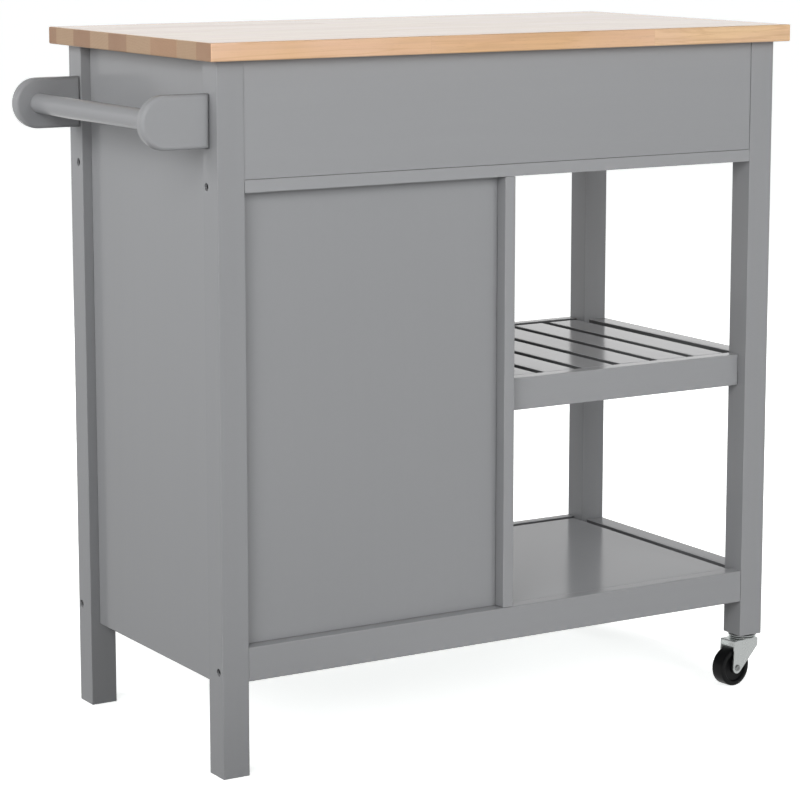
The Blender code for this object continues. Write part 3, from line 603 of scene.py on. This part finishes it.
# ------------------------------------ turned and outlined pieces
def spun(profile, steps, closed=False):
    """A turned surface about Z from (radius, height) points down its outer side."""
    bm = bmesh.new()
    verts = [bm.verts.new((radius, 0.0, height)) for radius, height in profile]
    edges = [bm.edges.new(pair) for pair in zip(verts, verts[1:])]
    if closed:
        edges.append(bm.edges.new((verts[-1], verts[0])))
    bmesh.ops.spin(
        bm, geom=verts + edges, axis=(0.0, 0.0, 1.0), cent=(0.0, 0.0, 0.0), angle=math.tau, steps=steps
    )
    bmesh.ops.remove_doubles(bm, verts=bm.verts, dist=TOUCH / 2)
    bmesh.ops.recalc_face_normals(bm, faces=bm.faces)
    return bm


def arc(centre, radius, start, end, steps):
    points = []
    for step in range(steps + 1):
        angle = math.radians(start + (end - start) * step / steps)
        points.append((centre[0] + radius * math.cos(angle), centre[1] + radius * math.sin(angle)))
    return points


def slab_from_outline(points, thickness):
    """A flat outline in XZ, thickened evenly about Y = 0."""
    bm = bmesh.new()
    face = bm.faces.new([bm.verts.new((x, -thickness / 2, z)) for x, z in points])
    extruded = bmesh.ops.extrude_face_region(bm, geom=[face])
    moved = [item for item in extruded["geom"] if isinstance(item, bmesh.types.BMVert)]
    bmesh.ops.translate(bm, verts=moved, vec=(0.0, thickness, 0.0))
    bmesh.ops.recalc_face_normals(bm, faces=bm.faces)
    return bm


def along_face(edge):
    """True for an edge of a slab that lies in one of its two flat faces."""
    return abs(edge.verts[0].co.y - edge.verts[1].co.y) < LEVEL


TO_Y = Matrix.Rotation(math.radians(90.0), 4, "X")
TO_X = Matrix.Rotation(math.radians(90.0), 4, "Y")


def moved(bm, matrix):
    bm.transform(matrix)
    return bm


# ------------------------------------ towel bar
BAR_ROUND = 0.0015
BRACKET_ROUND = 0.0045


def build_towel_bar():
    low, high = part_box("towel_bar")
    centre = (low + high) / 2
    radius = (high.z - low.z) / 2
    half = (high.y - low.y) / 2
    profile = [(0.0, half), (radius - BAR_ROUND, half)]
    profile += arc((radius - BAR_ROUND, half - BAR_ROUND), BAR_ROUND, 90.0, 0.0, 4)[1:]
    profile += [(radius, half * step / 12) for step in range(11, -12, -1)]
    profile += arc((radius - BAR_ROUND, -half + BAR_ROUND), BAR_ROUND, 0.0, -90.0, 4)
    profile += [(0.0, -half)]
    bm = moved(spun(profile, 64), Matrix.Translation(centre) @ TO_Y)
    new_piece("towel_bar_finished", bm, ["grey_lacquer_y"], node="towel_bar", crease=40.0)
    for node in ("towel_bracket_front", "towel_bracket_back"):
        build_bracket(node, centre)


def build_bracket(node, bar_centre):
    """A D-shaped block, its two faces' rims well rounded."""
    low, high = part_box(node)
    thick = high.y - low.y
    radius = (high.z - low.z) / 2
    back = low.x - bar_centre.x
    outline = [(back, -radius)] + arc((0.0, 0.0), radius, -90.0, 90.0, 48) + [(back, radius)]
    bm = slab_from_outline(outline, thick)
    rims = [edge for edge in sharp_edges(bm) if along_face(edge)]
    round_edges(bm, BRACKET_ROUND, 6, rims)
    mark = bm.faces.layers.float.get("edge")
    for face in bm.faces:
        face[mark] = 0.0        # so wide a rounding gets no painted edge highlight
    bm.transform(Matrix.Translation((bar_centre.x, (low.y + high.y) / 2, bar_centre.z)))
    bracket = new_piece(f"{node}_finished", bm, ["grey_lacquer_x"], node=node)
    weighted_normals(bracket)


# ------------------------------------ knobs
KNOB_CROWN = 0.0055             # how far the crown would fall away at its side
KNOB_CROWN_DEGREES = 70
KNOB_RIM_ROUND = 0.0034
KNOB_RIM_DROP = 0.0078          # rim's centre, under the crown's top
KNOB_NECK_REACH = 0.0118        # centre of the neck's hollow, from the axis
KNOB_NECK_DROP = 0.0172
KNOB_NECK_ROUND = 0.0060
KNOB_FOOT = ((0.0078, 0.0034), (0.0092, 0.0026), (0.0098, 0.0014), (0.0096, 0.0), (0.0, 0.0))


def build_knobs():
    for node in ("drawer_left_knob", "drawer_right_knob", "door_knob"):
        low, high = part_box(node)
        length = high.y - low.y
        radius = (high.x - low.x) / 2
        angles = [math.radians(angle) for angle in range(0, KNOB_CROWN_DEGREES, 6)]
        crown = [(radius * math.sin(angle), length - KNOB_CROWN * (1 - math.cos(angle))) for angle in angles]
        rim = arc((radius - KNOB_RIM_ROUND, length - KNOB_RIM_DROP), KNOB_RIM_ROUND, 55.0, -75.0, 8)
        neck = arc((KNOB_NECK_REACH, length - KNOB_NECK_DROP), KNOB_NECK_ROUND, 110.0, 250.0, 10)
        bm = spun(crown + rim + neck + list(KNOB_FOOT), 56)
        centre = Vector(((low.x + high.x) / 2, high.y, (low.z + high.z) / 2))
        bm.transform(Matrix.Translation(centre) @ TO_Y)
        new_piece(f"{node}_finished", bm, ["satin_nickel"], node=node, crease=38.0)


# ------------------------------------ casters
FORK_SHEET = 0.0018
FORK_BEND = 0.0030              # outer radius where the legs fold down from the top
FORK_TIP = 0.0075               # radius of the legs' ends, round the axle
FORK_HEEL = -0.016              # the legs' far edge, from the stem's axis
FORK_HEEL_HEIGHT = 0.011
FORK_HEEL_ROUND = 0.0030
FORK_SHOULDER_ROUND = 0.004
FORK_TOE = 0.0055               # the legs' near edge at the top, past the axle
FORK_TOE_ROUND = 0.0012
FORK_HALF_WIDTH = 0.0132
FORK_EDGE_ROUND = 0.00025
STEM_RADIUS = 0.0040
STEM_HOLE_RADIUS = 0.0043
AXLE_HOLE_RADIUS = 0.0028
RACE_RADIUS = 0.0185
RACE_HEIGHT = 0.003
POST_GAP = 0.0003               # between a post and its upper race
RACE_NECKS = (0.0045, 0.0020)   # the necks lie between these distances inside the races' radius
LOWER_RACE_HEIGHT = 0.0027
AXLE_FACE = 0.0135              # where the rivet heads meet the fork's legs
TYRE_STEPS = 96


def build_casters():
    for place in ("front", "back"):
        stem_low, stem_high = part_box(f"caster_{place}_stem")
        wheel_low, wheel_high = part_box(f"caster_{place}_wheel")
        stem = (stem_low + stem_high) / 2
        axle = (wheel_low + wheel_high) / 2
        trail = Vector((axle.x - stem.x, axle.y - stem.y, 0.0))
        turn = Matrix.Rotation(math.atan2(trail.y, trail.x), 4, "Z")
        stem_frame = Matrix.Translation((stem.x, stem.y, 0.0)) @ turn
        wheel_frame = Matrix.Translation(axle) @ turn
        build_stem(place, stem_frame, stem_low.z, stem_high.z)
        build_fork(place, stem_frame, trail.length, axle.z)
        build_axle(place, wheel_frame)
        build_wheel(place, wheel_frame, axle.z)


def paint_neck_shade(bm):
    """The races' narrow necks take the piece's second material, near black: painted shade in the gaps
    between the races, with their grease.
    """
    for face in bm.faces:
        centre = face.calc_center_median()
        reach = math.hypot(centre.x, centre.y)
        if RACE_RADIUS - RACE_NECKS[0] < reach < RACE_RADIUS - RACE_NECKS[1] and abs(face.normal.z) < 0.5:
            face.material_index = 1


def build_stem(place, frame_matrix, low, high):
    """The stem with its rolled upper race, and the riveted end under the fork."""
    race_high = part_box(f"post_{place}_left")[0].z - POST_GAP
    race_low = race_high - RACE_HEIGHT
    profile = [(0.0, high), (STEM_RADIUS - 0.001, high), (STEM_RADIUS, high - 0.001)]
    profile += [(STEM_RADIUS, race_high), (RACE_RADIUS - 0.0040, race_high)]
    profile += [(RACE_RADIUS - 0.0040, race_high - 0.0011)]
    profile += arc((RACE_RADIUS - 0.0007, race_high - 0.0018), 0.0007, 100.0, -90.0, 8)
    profile += [(RACE_RADIUS - 0.0030, race_low + 0.0005), (RACE_RADIUS - 0.0030, race_low)]
    profile += [(0.0060, race_low), (STEM_RADIUS, race_low)]
    profile += [(STEM_RADIUS, low + 0.002), (0.0068, low + 0.002)]
    profile += arc((0.0052, low + 0.002), 0.0016, 0.0, -80.0, 4)
    profile += [(0.0, low)]
    bm = spun(profile, 64)
    paint_neck_shade(bm)
    new_piece(
        f"caster_{place}_stem_finished", moved(bm, frame_matrix), ["zinc_plate", "race_gap_shade"],
        node=f"caster_{place}_stem", crease=35.0,
    )


def touch_angle(centre, radius, point, side):
    """The bearing, in degrees, at which a line from a point meets a circle; side picks which line."""
    across = point[0] - centre[0]
    up = point[1] - centre[1]
    bearing = math.degrees(math.atan2(up, across))
    return bearing + side * math.degrees(math.acos(radius / math.hypot(across, up)))


def top_ridges(bm, height):
    """The edges along X at a given height, for bending a sheet over."""
    return [edge for edge in bm.edges
            if all(vert.co.z > height - LEVEL for vert in edge.verts) and along_face(edge)]


def drill(radius, half_length):
    """A closed rod about Z, for cutting a hole."""
    return spun([(0.0, half_length), (radius, half_length), (radius, -half_length), (0.0, -half_length)], 32)


def build_fork(place, frame_matrix, trail, axle_height):
    """One folded sheet: tapered legs round the axle, a bent top, and the lower race drawn up from it."""
    node = f"caster_{place}_fork"
    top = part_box(node)[1].z - LOWER_RACE_HEIGHT
    axle = (trail, axle_height)
    toe = (trail + FORK_TOE, top)
    shoulder = (FORK_HEEL, top - FORK_HEEL_HEIGHT)
    leg = arc((FORK_HEEL + FORK_HEEL_ROUND, top - FORK_HEEL_ROUND), FORK_HEEL_ROUND, 180.0, 90.0, 5)
    leg += arc((toe[0] - FORK_TOE_ROUND, top - FORK_TOE_ROUND), FORK_TOE_ROUND, 90.0, 5.0, 3)
    leg += arc(axle, FORK_TIP, touch_angle(axle, FORK_TIP, toe, -1),
               touch_angle(axle, FORK_TIP, shoulder, 1) - 360.0, 20)
    leg += arc((FORK_HEEL + FORK_SHOULDER_ROUND, shoulder[1] + 0.0015), FORK_SHOULDER_ROUND, 215.0, 180.0, 4)
    outer = slab_from_outline(leg, 2 * FORK_HALF_WIDTH)
    bmesh.ops.bevel(outer, geom=top_ridges(outer, top), offset=FORK_BEND, segments=5, profile=0.5,
                    affect="EDGES")
    hollow = bmesh.new()
    inner = FORK_HALF_WIDTH - FORK_SHEET
    roof = top - FORK_SHEET
    add_block(hollow, (FORK_HEEL - 0.01, -inner, -0.01), (trail + 0.03, inner, roof))
    bmesh.ops.bevel(hollow, geom=top_ridges(hollow, roof), offset=FORK_BEND - FORK_SHEET, segments=4,
                    profile=0.5, affect="EDGES")
    axle_hole = moved(drill(AXLE_HOLE_RADIUS, 0.03), Matrix.Translation((trail, 0.0, axle_height)) @ TO_Y)
    stem_hole = moved(drill(STEM_HOLE_RADIUS, 0.02), Matrix.Translation((0.0, 0.0, top)))
    fork = new_piece(f"caster_{place}_fork_finished", outer, ["zinc_plate"], node=node, smooth=False)
    for cutter in (hollow, axle_hole, stem_hole):
        cut(fork, cutter)
    bm = bmesh.new()
    bm.from_mesh(fork.data)
    bmesh.ops.dissolve_limit(bm, angle_limit=FLAT_ANGLE, verts=bm.verts, edges=bm.edges)
    round_edges(bm, FORK_EDGE_ROUND, 2, sharp_edges(bm, math.radians(50.0)))
    bm.transform(frame_matrix)
    bm.to_mesh(fork.data)
    bm.free()
    fork.data.shade_smooth()
    weighted_normals(fork)
    build_lower_race(place, frame_matrix, top)


def build_lower_race(place, frame_matrix, top):
    """The lower race, a rolled ring on a narrower neck."""
    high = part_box(f"caster_{place}_fork")[1].z
    low = top + 0.0001
    bore = STEM_HOLE_RADIUS + 0.0003
    neck = RACE_RADIUS - 0.0038
    profile = [(bore, high), (RACE_RADIUS - 0.0030, high), (RACE_RADIUS - 0.0030, high - 0.0006)]
    profile += arc((RACE_RADIUS - 0.0009, high - 0.0012), 0.0006, 100.0, -90.0, 8)
    profile += [(neck, high - 0.0019), (neck, low), (bore, low)]
    bm = spun(profile, 64, closed=True)
    paint_neck_shade(bm)
    new_piece(
        f"caster_{place}_lower_race", moved(bm, frame_matrix), ["zinc_plate", "race_gap_shade"],
        body=f"caster_{place}", slot="zinc_plate", crease=35.0,
    )


def cut(piece, cutter_bm):
    """Subtracts a closed bmesh from a piece and keeps the result in its mesh."""
    mesh = bpy.data.meshes.new("cutter")
    cutter_bm.to_mesh(mesh)
    cutter_bm.free()
    cutter = bpy.data.objects.new("cutter", mesh)
    bpy.context.scene.collection.objects.link(cutter)
    modifier = piece.modifiers.new("cut", "BOOLEAN")
    modifier.object = cutter
    modifier.operation = "DIFFERENCE"
    modifier.solver = "EXACT"
    depsgraph = bpy.context.evaluated_depsgraph_get()
    result = bpy.data.meshes.new_from_object(piece.evaluated_get(depsgraph))
    piece.modifiers.clear()
    old = piece.data
    piece.data = result
    bpy.data.meshes.remove(old)
    bpy.data.objects.remove(cutter, do_unlink=True)
    bpy.data.meshes.remove(mesh)


def build_axle(place, frame_matrix):
    """A riveted axle: a plain shaft with a dished head outside each leg."""
    half = [(0.0, AXLE_FACE + 0.0008), (0.0012, AXLE_FACE + 0.0008), (0.0018, AXLE_FACE + 0.0013)]
    half += arc((0.0030, AXLE_FACE + 0.0001), 0.0013, 90.0, 0.0, 5)
    half += [(0.0044, AXLE_FACE), (0.0025, AXLE_FACE)]
    profile = half + [(radius, -height) for radius, height in reversed(half)]
    bm = moved(spun(profile, 40), frame_matrix @ TO_Y)
    node = f"caster_{place}_axle"
    new_piece(f"{node}_finished", bm, ["rivet_zinc"], node=node, crease=35.0)


def build_wheel(place, frame_matrix, radius):
    """A moulded wheel: bored hub, dished web, rim step and a crowned tread."""
    bore = AXLE_HOLE_RADIUS
    hub = 0.0104
    edge = 0.0100
    half = [(bore, hub - 0.0004), (bore + 0.0004, hub), (0.0066, hub)]
    half += arc((0.0066, hub - 0.0008), 0.0008, 90.0, 0.0, 3)[1:]
    half += [(0.0078, edge - 0.0032), (0.0086, edge - 0.0036), (0.0168, edge - 0.0036)]
    half += [(0.0178, edge - 0.0032), (0.0186, edge - 0.0008), (0.0192, edge - 0.0002)]
    half += [(0.0205, edge), (0.0226, edge - 0.0001)]
    half += arc((radius - 0.0020, edge - 0.0021), 0.0018, 80.0, 5.0, 6)
    crown = [(radius - 0.0001, edge - 0.0040), (radius, 0.0), (radius - 0.0001, 0.0040 - edge)]
    profile = half + crown + [(distance, -height) for distance, height in reversed(half)]
    bm = moved(spun(profile, TYRE_STEPS, closed=True), frame_matrix @ TO_Y)
    node = f"caster_{place}_wheel"
    new_piece(f"{node}_finished", bm, ["black_rubber"], node=node, crease=32.0)


# ------------------------------------ fittings
BOLT_HEIGHTS = (0.7025, 0.129)
BOLT_INSETS = {"front": (0.0225, 0.0077), "back": (0.0280, 0.0107)}   # from the post's outer face
BOLT_HOLE_DEPTH = 0.0067
BOLT_HEAD_RADIUS = 0.0042
BOLT_HEAD_HEIGHT = 0.0040
BOLT_SOCKET_RADIUS = 0.0020
BOLT_SOCKET_DEPTH = 0.0024


def bolt_head():
    """A bolt's head about +Z, its seat at Z = 0, and the hexagon bar that cuts its socket."""
    radius = BOLT_HEAD_RADIUS
    height = BOLT_HEAD_HEIGHT
    profile = [(0.0, height), (radius * 0.8, height), (radius, height * 0.55), (radius, 0.0), (0.0, 0.0)]
    hexagon = bmesh.new()
    bmesh.ops.create_cone(
        hexagon, cap_ends=True, segments=6, radius1=BOLT_SOCKET_RADIUS, radius2=BOLT_SOCKET_RADIUS,
        depth=2 * BOLT_SOCKET_DEPTH, matrix=Matrix.Translation((0.0, 0.0, height)),
    )
    return spun(profile, 32), hexagon


def build_bolts():
    """The frame bolts' heads, sunk in the posts' end faces."""
    for post in ("post_front_left", "post_front_right", "post_back_left", "post_back_right"):
        low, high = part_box(post)
        side_x = 1.0 if "right" in post else -1.0
        place = "back" if "back" in post else "front"
        face = high.x if side_x > 0 else low.x
        for height, inset in zip(BOLT_HEIGHTS, BOLT_INSETS[place]):
            y = high.y - inset if place == "back" else low.y + inset
            head, hexagon = bolt_head()
            seat = face - side_x * BOLT_HOLE_DEPTH
            matrix = Matrix.Translation((seat, y, height)) @ (TO_X if side_x > 0 else TO_X.inverted())
            bolt = new_piece(f"{post}_bolt_{round(height * 1000)}", head, ["bolt_black"], body="carcass",
                             slot="zinc_plate", smooth=False)
            cut(bolt, hexagon)
            bolt.data.transform(matrix)
            bolt.data.shade_smooth()
            bolt.data.set_sharp_from_angle(angle=SHARP_ANGLE)


SCREW_PITCH = 0.017
SCREW_ROW = 0.65                # the row's place across the leaf, from the pin
SCREW_STAGGER = (-0.002, 0.003)     # the middle screw and the outer ones, away from the pin
SCREW_HEAD = ((0.0, 0.0003), (0.0008, 0.0003), (0.0010, 0.0008), (0.0022, 0.0008), (0.0030, 0.0001),
              (0.0030, -0.0004), (0.0, -0.0004))
LEAF_THICK = 0.0015             # the hinge leaves' sheet


def build_hinge_screws():
    """Three countersunk screws in each hinge leaf, joined as one piece a leaf."""
    for name in ("upper", "lower"):
        for leaf, body, side in (("post_leaf", "carcass", 1.0), ("door_leaf", "door", -1.0)):
            low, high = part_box(f"hinge_{name}_{leaf}")
            middle = low.x + (SCREW_ROW if side > 0 else 1 - SCREW_ROW) * (high.x - low.x)
            face = high.y - LEAF_THICK
            bm = bmesh.new()
            for place in (-1, 0, 1):
                x = middle + side * SCREW_STAGGER[abs(place)]
                z = (low.z + high.z) / 2 + place * SCREW_PITCH
                head = spun(SCREW_HEAD, 24)
                head.transform(Matrix.Translation((x, face, z)) @ TO_Y)
                scratch = bpy.data.meshes.new("scratch")
                head.to_mesh(scratch)
                head.free()
                bm.from_mesh(scratch)
                bpy.data.meshes.remove(scratch)
            new_piece(
                f"hinge_{name}_{leaf}_screws", bm, ["screw_nickel"], body=body, slot="satin_nickel",
                crease=30.0,
            )


CATCH_ROUND = 0.0010
MAGNET_HALF = 0.0105
MAGNET_SET_BACK = 0.0005
POLE_GAP = 0.0001
CATCH_POLE = 0.0012
POLE_DEPTH = 0.004
POLE_INSETS = (0.0035, 0.0030)  # from the housing's lower and upper face
STRIKER_RADIUS = 0.0080


def build_catch():
    """A magnet catch: its housing, the magnet between two pole plates, and the striker on the door."""
    low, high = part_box("door_catch")
    middle = (low + high) / 2
    bm = bmesh.new()
    add_block(bm, (low.x, low.y + CATCH_ROUND, low.z), high)
    round_edges(bm, CATCH_ROUND, 3)
    housing_faces = len(bm.faces)
    pole_inner = MAGNET_HALF + POLE_GAP
    pole_outer = MAGNET_HALF + CATCH_POLE
    blocks = (
        (-MAGNET_HALF, MAGNET_HALF, MAGNET_SET_BACK),
        (-pole_outer, -pole_inner, 0.0),
        (pole_inner, pole_outer, 0.0),
    )
    for left, right, set_back in blocks:
        add_block(
            bm, (middle.x + left, low.y + set_back, low.z + POLE_INSETS[0]),
            (middle.x + right, low.y + POLE_DEPTH, high.z - POLE_INSETS[1]),
        )
    bm.faces.ensure_lookup_table()
    for face in list(bm.faces)[housing_faces:]:
        face.material_index = 1
    housing = new_piece("door_catch_finished", bm, ["catch_plastic", "catch_magnet"], node="door_catch")
    weighted_normals(housing)
    door_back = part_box("door_board")[1].y
    profile = [(0.0, 0.0002), (STRIKER_RADIUS - 0.0004, 0.0002), (STRIKER_RADIUS, 0.0001)]
    profile += [(STRIKER_RADIUS, 0.0), (0.0, 0.0)]
    disc = spun(profile, 40)
    disc.transform(Matrix.Translation((middle.x, door_back, middle.z - 0.001)) @ TO_Y.inverted())
    new_piece("door_striker", disc, ["zinc_plate"], body="door", slot="zinc_plate", crease=30.0)


SHELF_PIN_RADIUS = 0.0025
SHELF_PIN_INSET = 0.04          # from the shelf's front and back edges
SHELF_PIN_GAP = 0.0002          # under the shelf
SHELF_PIN = (
    (0.0, 0.009), (SHELF_PIN_RADIUS - 0.0006, 0.009), (SHELF_PIN_RADIUS, 0.0084),
    (SHELF_PIN_RADIUS, 0.0012), (0.0048, 0.0012), (0.0050, 0.0008), (0.0050, 0.0), (0.0, 0.0),
)


def build_shelf_pins():
    """Four pins that hold the cupboard shelf, two in the divider and two in the side panel."""
    low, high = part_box("cupboard_shelf")
    for side, x, direction in (("left", low.x, 1.0), ("right", high.x, -1.0)):
        for place, y in (("front", low.y + SHELF_PIN_INSET), ("back", high.y - SHELF_PIN_INSET)):
            bm = spun(SHELF_PIN, 28)
            turn = TO_X if direction > 0 else TO_X.inverted()
            centre = Vector((x, y, low.z - SHELF_PIN_RADIUS - SHELF_PIN_GAP))
            bm.transform(Matrix.Translation(centre) @ turn)
            new_piece(
                f"shelf_pin_{side}_{place}", bm, ["zinc_plate"], body="carcass", slot="zinc_plate",
                crease=30.0,
            )


# ------------------------------------ boards
TOWEL_BAR_NODES = ("towel_bar", "towel_bracket_front", "towel_bracket_back")
UPRIGHT_PANELS = ("right_side_panel", "divider_panel", "cupboard_back_panel", "door_board")
CLOSE_BOARDS = ("back_apron", "mid_rail_back")  # they meet in a joint so tight that their edges look sharp


def build_boards():
    """Every board of the frame, the door and the drawers."""
    for node, slot in SLOT_OF.items():
        if node in TOWEL_BAR_NODES or slot not in ("grey_lacquer", "drawer_wood"):
            continue
        axis = longest_axis(node)
        if node in UPRIGHT_PANELS:
            axis = "Z"
        if node.endswith("_bottom"):
            axis = "Y"
        low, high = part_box(node)
        sharp = min(high - low) < THIN_BOARD or node in CLOSE_BOARDS
        finished_board(node, THIN_BOARD_ROUND if sharp else EDGE_ROUND, axis)


HINGE_EDGE_ROUND = 0.0002


def build_hinges():
    for name in ("upper", "lower"):
        for leaf in ("post_leaf", "door_leaf"):
            node = f"hinge_{name}_{leaf}"
            bm = welded_copy(node)
            round_edges(bm, HINGE_EDGE_ROUND, 2, sharp_edges(bm, CORNER_ANGLE))
            hinge = new_piece(f"{node}_finished", bm, ["satin_nickel"], node=node)
            weighted_normals(hinge)


# ------------------------------------ studio
def hang_softbox(name, bearing, height, watts):
    turn = math.radians(bearing)
    place = Vector((SOFTBOX_DISTANCE * math.cos(turn), SOFTBOX_DISTANCE * math.sin(turn), height))
    light = bpy.data.lights.new(name, "AREA")
    light.shape = "SQUARE"
    light.size = SOFTBOX_SIZE
    light.energy = watts
    item = bpy.data.objects.new(name, light)
    item.location = place
    item.rotation_euler = (Vector(SOFTBOX_AIM) - place).to_track_quat("-Z", "Y").to_euler()
    item.visible_camera = False
    item.visible_glossy = False
    bpy.context.scene.collection.objects.link(item)


def build_world():
    """A studio whose walls are bright near the horizon, most of all at the backdrop, and dark overhead."""
    world = bpy.data.worlds.new("studio")
    nodes = NodeTree(world)
    direction = nodes.add("ShaderNodeTexCoord").outputs["Generated"]
    rise = nodes.add("ShaderNodeSeparateXYZ", {"Vector": direction}).outputs["Z"]
    sky = nodes.add("ShaderNodeFloatCurve", {"Value": nodes.spread(rise, 0.0, 1.0, -1.0, 1.0)})
    curve = sky.mapping.curves[0]
    while len(curve.points) < len(STUDIO_RADIANCE):
        curve.points.new(0.5, 0.5)
    for point, (elevation, level) in zip(curve.points, STUDIO_RADIANCE):
        point.location = ((1.0 + math.sin(math.radians(elevation))) / 2, level / RADIANCE_SCALE)
        point.handle_type = "VECTOR"
    sky.mapping.update()
    turn = math.radians(BACKDROP_BEARING)
    bearing = (math.cos(turn), math.sin(turn), 0.0)
    towards = nodes.add("ShaderNodeVectorMath", {0: direction, 1: bearing}, operation="DOT_PRODUCT")
    dimmer = nodes.spread(
        towards.outputs["Value"], RADIANCE_SCALE * DIM_LEVEL, RADIANCE_SCALE, *BACKDROP_EDGE
    )
    background = world.node_tree.nodes["Background"]
    nodes.set(background, "Color", (1.0, 1.0, 1.0, 1.0))
    nodes.set(background, "Strength", nodes.math("MULTIPLY", sky.outputs["Value"], dimmer))
    bpy.context.scene.world = world


def studio_object(name, bm, material):
    mesh = bpy.data.meshes.new(name)
    bm.to_mesh(mesh)
    bm.free()
    mesh.materials.append(MATERIALS[material])
    item = bpy.data.objects.new(name, mesh)
    bpy.context.scene.collection.objects.link(item)
    return item


def lay_card():
    """A dark card on the floor round the feet: it takes the bounced light off the legs' low ends."""
    bm = bmesh.new()
    bm.faces.new([bm.verts.new((x, y, CARD_HEIGHT)) for x, y in CARD_OUTLINE])
    card = studio_object("studio_card", bm, "card")
    card.visible_camera = False
    card.visible_glossy = False
    card.visible_shadow = False


def build_wall():
    """A white wall all round, seen by the camera only."""
    bm = bmesh.new()
    bmesh.ops.create_cone(
        bm, cap_ends=False, segments=96, radius1=WALL_RADIUS, radius2=WALL_RADIUS, depth=WALL_HEIGHT,
        matrix=Matrix.Translation((0.0, 0.0, WALL_HEIGHT / 2)),
    )
    wall = studio_object("studio_wall", bm, "wall")
    wall.visible_diffuse = False
    wall.visible_glossy = False
    wall.visible_shadow = False


def build_studio():
    bpy.context.scene.view_settings.view_transform = "Standard"
    build_world()
    bm = bmesh.new()
    bmesh.ops.create_grid(bm, x_segments=8, y_segments=8, size=FLOOR_HALF)
    floor = studio_object("studio_floor", bm, "floor")
    floor.visible_diffuse = False
    floor.visible_glossy = False
    lay_card()
    build_wall()
    for softbox in SOFTBOXES:
        hang_softbox(*softbox)


def build_camera():
    data = bpy.data.cameras.new("photo_camera")
    data.lens = CAMERA_LENS
    data.sensor_width = 36.0
    data.shift_y = CAMERA_SHIFT_Y
    camera = bpy.data.objects.new("photo_camera", data)
    camera.location = CAMERA_PLACE
    camera.rotation_euler = (math.radians(90.0 - CAMERA_ELEVATION), 0.0, math.radians(CAMERA_AZIMUTH))
    bpy.context.scene.collection.objects.link(camera)
    bpy.context.scene.camera = camera


build_boards()
build_worktop()
build_towel_bar()
build_knobs()
build_casters()
build_hinges()
build_hinge_screws()
build_bolts()
build_catch()
build_shelf_pins()
build_studio()
build_camera()
